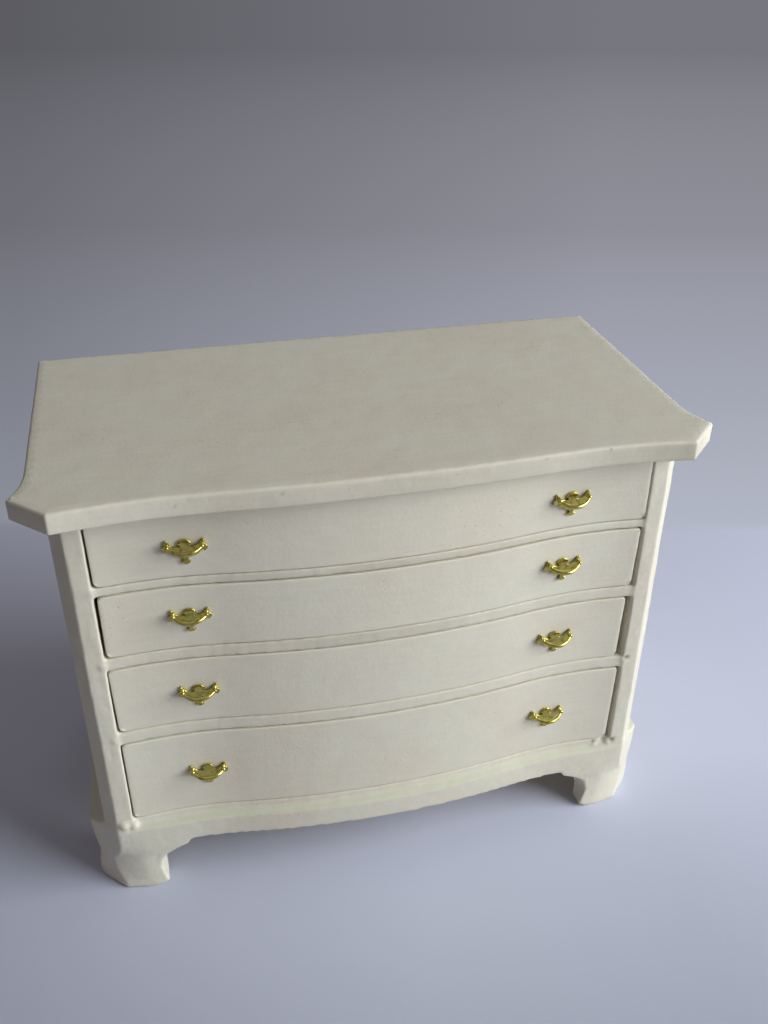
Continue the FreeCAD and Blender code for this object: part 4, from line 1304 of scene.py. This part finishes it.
def stand_on_front(mesh, node, out, lift):
    """Turn a pull's piece upright and carry it to its place on the drawer front."""
    low, high = box_mm(node)
    x = (low.x + high.x) / 2
    y = case_front(x)
    slope = (case_front(x + SLOPE_STEP) - case_front(x - SLOPE_STEP)) / (2 * SLOPE_STEP)
    turn = Matrix.Rotation(math.atan(slope), 4, "Z") @ Matrix.Rotation(math.pi / 2, 4, "X")
    middle = low.z + DROP_BOTTOM
    normal = Vector((slope, -1, 0)).normalized()
    place = Vector((x, y, middle + lift)) + normal * (PULL_SEAT + out)
    bmesh.ops.transform(mesh, verts=mesh.verts, matrix=Matrix.Translation(place) @ turn)


for number in (1, 2, 3, 4):
    for side in ("left", "right"):
        plate_node = f"drawer_{number}_{side}_pull_plate"
        bail_node = f"drawer_{number}_{side}_bail"
        plate = plate_mesh()
        stand_on_front(plate, plate_node, 0, 0)
        add_piece("brass_" + plate_node, plate, cast_brass, f"drawer_{number}", [plate_node])
        bail = bail_mesh(BAIL_LEAN[side])
        stand_on_front(bail, plate_node, PLATE_THICKNESS + POST_REACH, HINGE_LIFT)
        add_piece("brass_" + bail_node, bail, cast_brass, bail_node, [bail_node])

# %% [markdown]
# ## Floor and wall
#
# The chest stands on a sheet of pale lavender-grey paper, which rises to a dim wall
# behind it. A real wall would hide the chest from behind, so the sheet runs on flat,
# and past a line on it the rays that the camera sends see the wall's shades instead.
# Those shades give no light: they glow, painted darker upwards and to the left as the
# window's light falls off on the wall. On the near side, and far out to the left, the
# paper is painted darker as shade, because less of the room's light falls there.

# %% Floor colours
PAPER = "#dfe6f8"
# Paper fibres are finer than this, and would not show.
FIBRE_MM = 0.8
FLOOR_METRES = 8.0
FLOOR_SQUARES = 8
WALL_LINE = (126, 65)
WALL_SOFTNESS = 3
WALL_SHADES = ((0.0, "#b2b7c5"), (0.09, "#a4a7b4"), (0.3, "#8f8f99"), (1.0, "#77777f"))
WALL_FADE_MM = 1000
WALL_SIDES = (-0.31, 0.18, 0.58)
FAN_PLACE = (-102, -343)
NEAR_SHADE = (-152, -88, 0.69)
SIDE_SHADES = ((-170, 0.93), (-95, 1.0), (-45, 0.9))


def set_stops(ramp, stops):
    """Give a colour ramp its (place from 0 to 1, linear colour) stops."""
    while len(ramp.elements) < len(stops):
        ramp.elements.new(0.5)
    for element, (place, colour) in zip(ramp.elements, stops):
        element.position = place
        element.color = colour


def seen_rays(tree):
    """1 for the rays that the camera, metal and glass send, and 0 for those of light."""
    path = add_node(tree, "LightPath")
    seen = add_node(tree, "Math", {"operation": "MAXIMUM"}, _0=path.outputs["Is Camera Ray"],
                    _1=path.outputs["Is Glossy Ray"])
    return add_node(tree, "Math", {"operation": "MAXIMUM"}, _0=seen.outputs[0],
                    _1=path.outputs["Is Transmission Ray"]).outputs[0]


print("the wall is painted in", len(WALL_SHADES), "shades, from", WALL_SHADES[0][1], "to", WALL_SHADES[-1][1])

# %% Floor
def paper_shader(tree, place, parts):
    """The paper, with painted shade on the near side and towards its left."""
    fibre = add_node(tree, "TexNoise", Vector=place, Scale=per_mm(FIBRE_MM), Detail=2.0)
    bump = add_node(tree, "Bump", Strength=0.15, Distance=0.05 * MM, Height=fibre.outputs["Fac"])
    near = add_node(tree, "MapRange", Value=parts.outputs["Y"], From_Min=NEAR_SHADE[0] * MM,
                    From_Max=NEAR_SHADE[1] * MM, To_Min=NEAR_SHADE[2])
    first, last = SIDE_SHADES[0][0], SIDE_SHADES[-1][0]
    across = add_node(tree, "MapRange", Value=parts.outputs["X"], From_Min=first * MM, From_Max=last * MM)
    sides = add_node(tree, "ValToRGB", Fac=across.outputs[0])
    set_stops(sides.color_ramp, [((x - first) / (last - first), [shade] * 3 + [1.0])
                                 for x, shade in SIDE_SHADES])
    shade = add_node(tree, "Math", {"operation": "MULTIPLY"}, _0=near.outputs[0], _1=sides.outputs[0])
    colour = add_node(tree, "Mix", {"data_type": "RGBA", "blend_type": "MULTIPLY"}, _0=1.0,
                      _6=linear(PAPER), _7=shade.outputs[0])
    return add_node(tree, "BsdfPrincipled", Base_Color=colour.outputs[2], Roughness=0.8, IOR=1.5,
                    Normal=bump.outputs[0]).outputs[0]


def wall_shader(tree, parts):
    """Painted light and shade of a glowing wall, darker upwards and, in a fan from a
    place in front, leftwards.
    """
    behind = add_node(tree, "MapRange", Value=parts.outputs["Y"], From_Max=WALL_FADE_MM * MM)
    shades = add_node(tree, "ValToRGB", Fac=behind.outputs[0])
    set_stops(shades.color_ramp, [(share, linear(colour)) for share, colour in WALL_SHADES])
    aside = add_node(tree, "Math", {"operation": "SUBTRACT"}, _0=parts.outputs["X"], _1=FAN_PLACE[0] * MM)
    ahead = add_node(tree, "Math", {"operation": "SUBTRACT"}, _0=parts.outputs["Y"], _1=FAN_PLACE[1] * MM)
    sideways = add_node(tree, "Math", {"operation": "DIVIDE"}, _0=aside.outputs[0], _1=ahead.outputs[0])
    leftwards = add_node(tree, "MapRange", Value=sideways.outputs[0], From_Min=WALL_SIDES[0],
                         From_Max=WALL_SIDES[1], To_Min=WALL_SIDES[2])
    shaded = add_node(tree, "Mix", {"data_type": "RGBA", "blend_type": "MULTIPLY"}, _0=1.0,
                      _6=shades.outputs[0], _7=leftwards.outputs[0])
    return add_node(tree, "Emission", Color=shaded.outputs[2]).outputs[0]


material, tree, output = new_material("lavender_grey_paper")
place = add_node(tree, "TexCoord").outputs["Object"]
across_line = add_node(tree, "Mapping", {"vector_type": "TEXTURE"}, Vector=place,
                       Location=(WALL_LINE[0] * MM, WALL_LINE[1] * MM, 0), Rotation=(0, 0, CAMERA_TURN))
parts = add_node(tree, "SeparateXYZ", Vector=across_line.outputs[0])
past_line = add_node(tree, "MapRange", {"interpolation_type": "SMOOTHSTEP"}, Value=parts.outputs["Y"],
                     From_Min=-WALL_SOFTNESS * MM, From_Max=WALL_SOFTNESS * MM)
share = add_node(tree, "Math", {"operation": "MULTIPLY"}, _0=seen_rays(tree), _1=past_line.outputs[0])
mixed = add_node(tree, "MixShader", _0=share.outputs[0], _1=paper_shader(tree, place, parts),
                 _2=wall_shader(tree, parts))
tree.links.new(mixed.outputs[0], output.inputs["Surface"])

sheet = bmesh.new()
bmesh.ops.create_grid(sheet, x_segments=FLOOR_SQUARES, y_segments=FLOOR_SQUARES, size=FLOOR_METRES / 2)
data = bpy.data.meshes.new("paper_floor")
sheet.to_mesh(data)
sheet.free()
data.materials.append(material)
floor = bpy.data.objects.new("paper_floor", data)
bpy.context.scene.collection.objects.link(floor)
print(f"a floor of {FLOOR_METRES:.0f} m with {len(tree.nodes)} nodes in its paper")

# %% [markdown]
# ## Light
#
# A large window low on the right gives most of the light: the right-hand cants are
# almost white, the left-hand ones lie in warm shade, and the serpentine shows as a
# slow change of tone. A sun lamp would draw hard shadows, so the window is an area
# light. A weaker, bluer one overhead stands for the ceiling.

# %% Window light
CHEST_MIDDLE = 42
WINDOW_DIRECTION = Vector((0.83, -0.46, 0.40)).normalized()
WINDOW_DISTANCE = 680
WINDOW_SIZE = (500, 450)
WINDOW_POWER = 5.9
WINDOW_COLOUR = "#f6f9ff"
CEILING_HEIGHT = 800
CEILING_SIZE = (900, 900)
CEILING_POWER = 0.95
CEILING_COLOUR = "#daeeff"


def soft_light(name, direction, distance, size, power, colour):
    """A rectangular light a distance away in a direction, facing the chest."""
    light = bpy.data.objects.new(name, bpy.data.lights.new(name, "AREA"))
    light.data.shape = "RECTANGLE"
    light.data.size, light.data.size_y = size[0] * MM, size[1] * MM
    light.data.energy = power
    light.data.color = linear(colour)[:3]
    light.location = direction * distance * MM + Vector((0, 0, CHEST_MIDDLE * MM))
    light.rotation_mode = "QUATERNION"
    light.rotation_quaternion = direction.to_track_quat("Z", "Y")
    bpy.context.scene.collection.objects.link(light)
    print(name, "at", [round(part, 3) for part in light.location])


soft_light("window", WINDOW_DIRECTION, WINDOW_DISTANCE, WINDOW_SIZE, WINDOW_POWER, WINDOW_COLOUR)
soft_light("ceiling", Vector((0, 0, 1)), CEILING_HEIGHT, CEILING_SIZE, CEILING_POWER, CEILING_COLOUR)

# %% [markdown]
# ## Room
#
# Light that has bounced about a room fills the shade with a dim warm tone. More lamps
# could do that, but would add highlights to the brass. The world does it evenly. The
# camera and the brass would see that tone as a dark background, so they get a pale
# grey one instead.

# %% Room
ROOM_FILL = "#54443d"
ROOM_SEEN = "#7f8290"
world = bpy.data.worlds.new("room")
bpy.context.scene.world = world
world.use_nodes = True
world.node_tree.nodes.clear()
tree = world.node_tree
air = add_node(tree, "Mix", {"data_type": "RGBA"}, _0=seen_rays(tree), _6=linear(ROOM_FILL),
               _7=linear(ROOM_SEEN))
background = add_node(tree, "Background", Color=air.outputs[2], Strength=1.0)
add_node(tree, "OutputWorld", Surface=background.outputs[0])
bpy.context.scene.view_settings.view_transform = "Standard"
print("the room fills with", ROOM_FILL, "and is seen as", ROOM_SEEN)
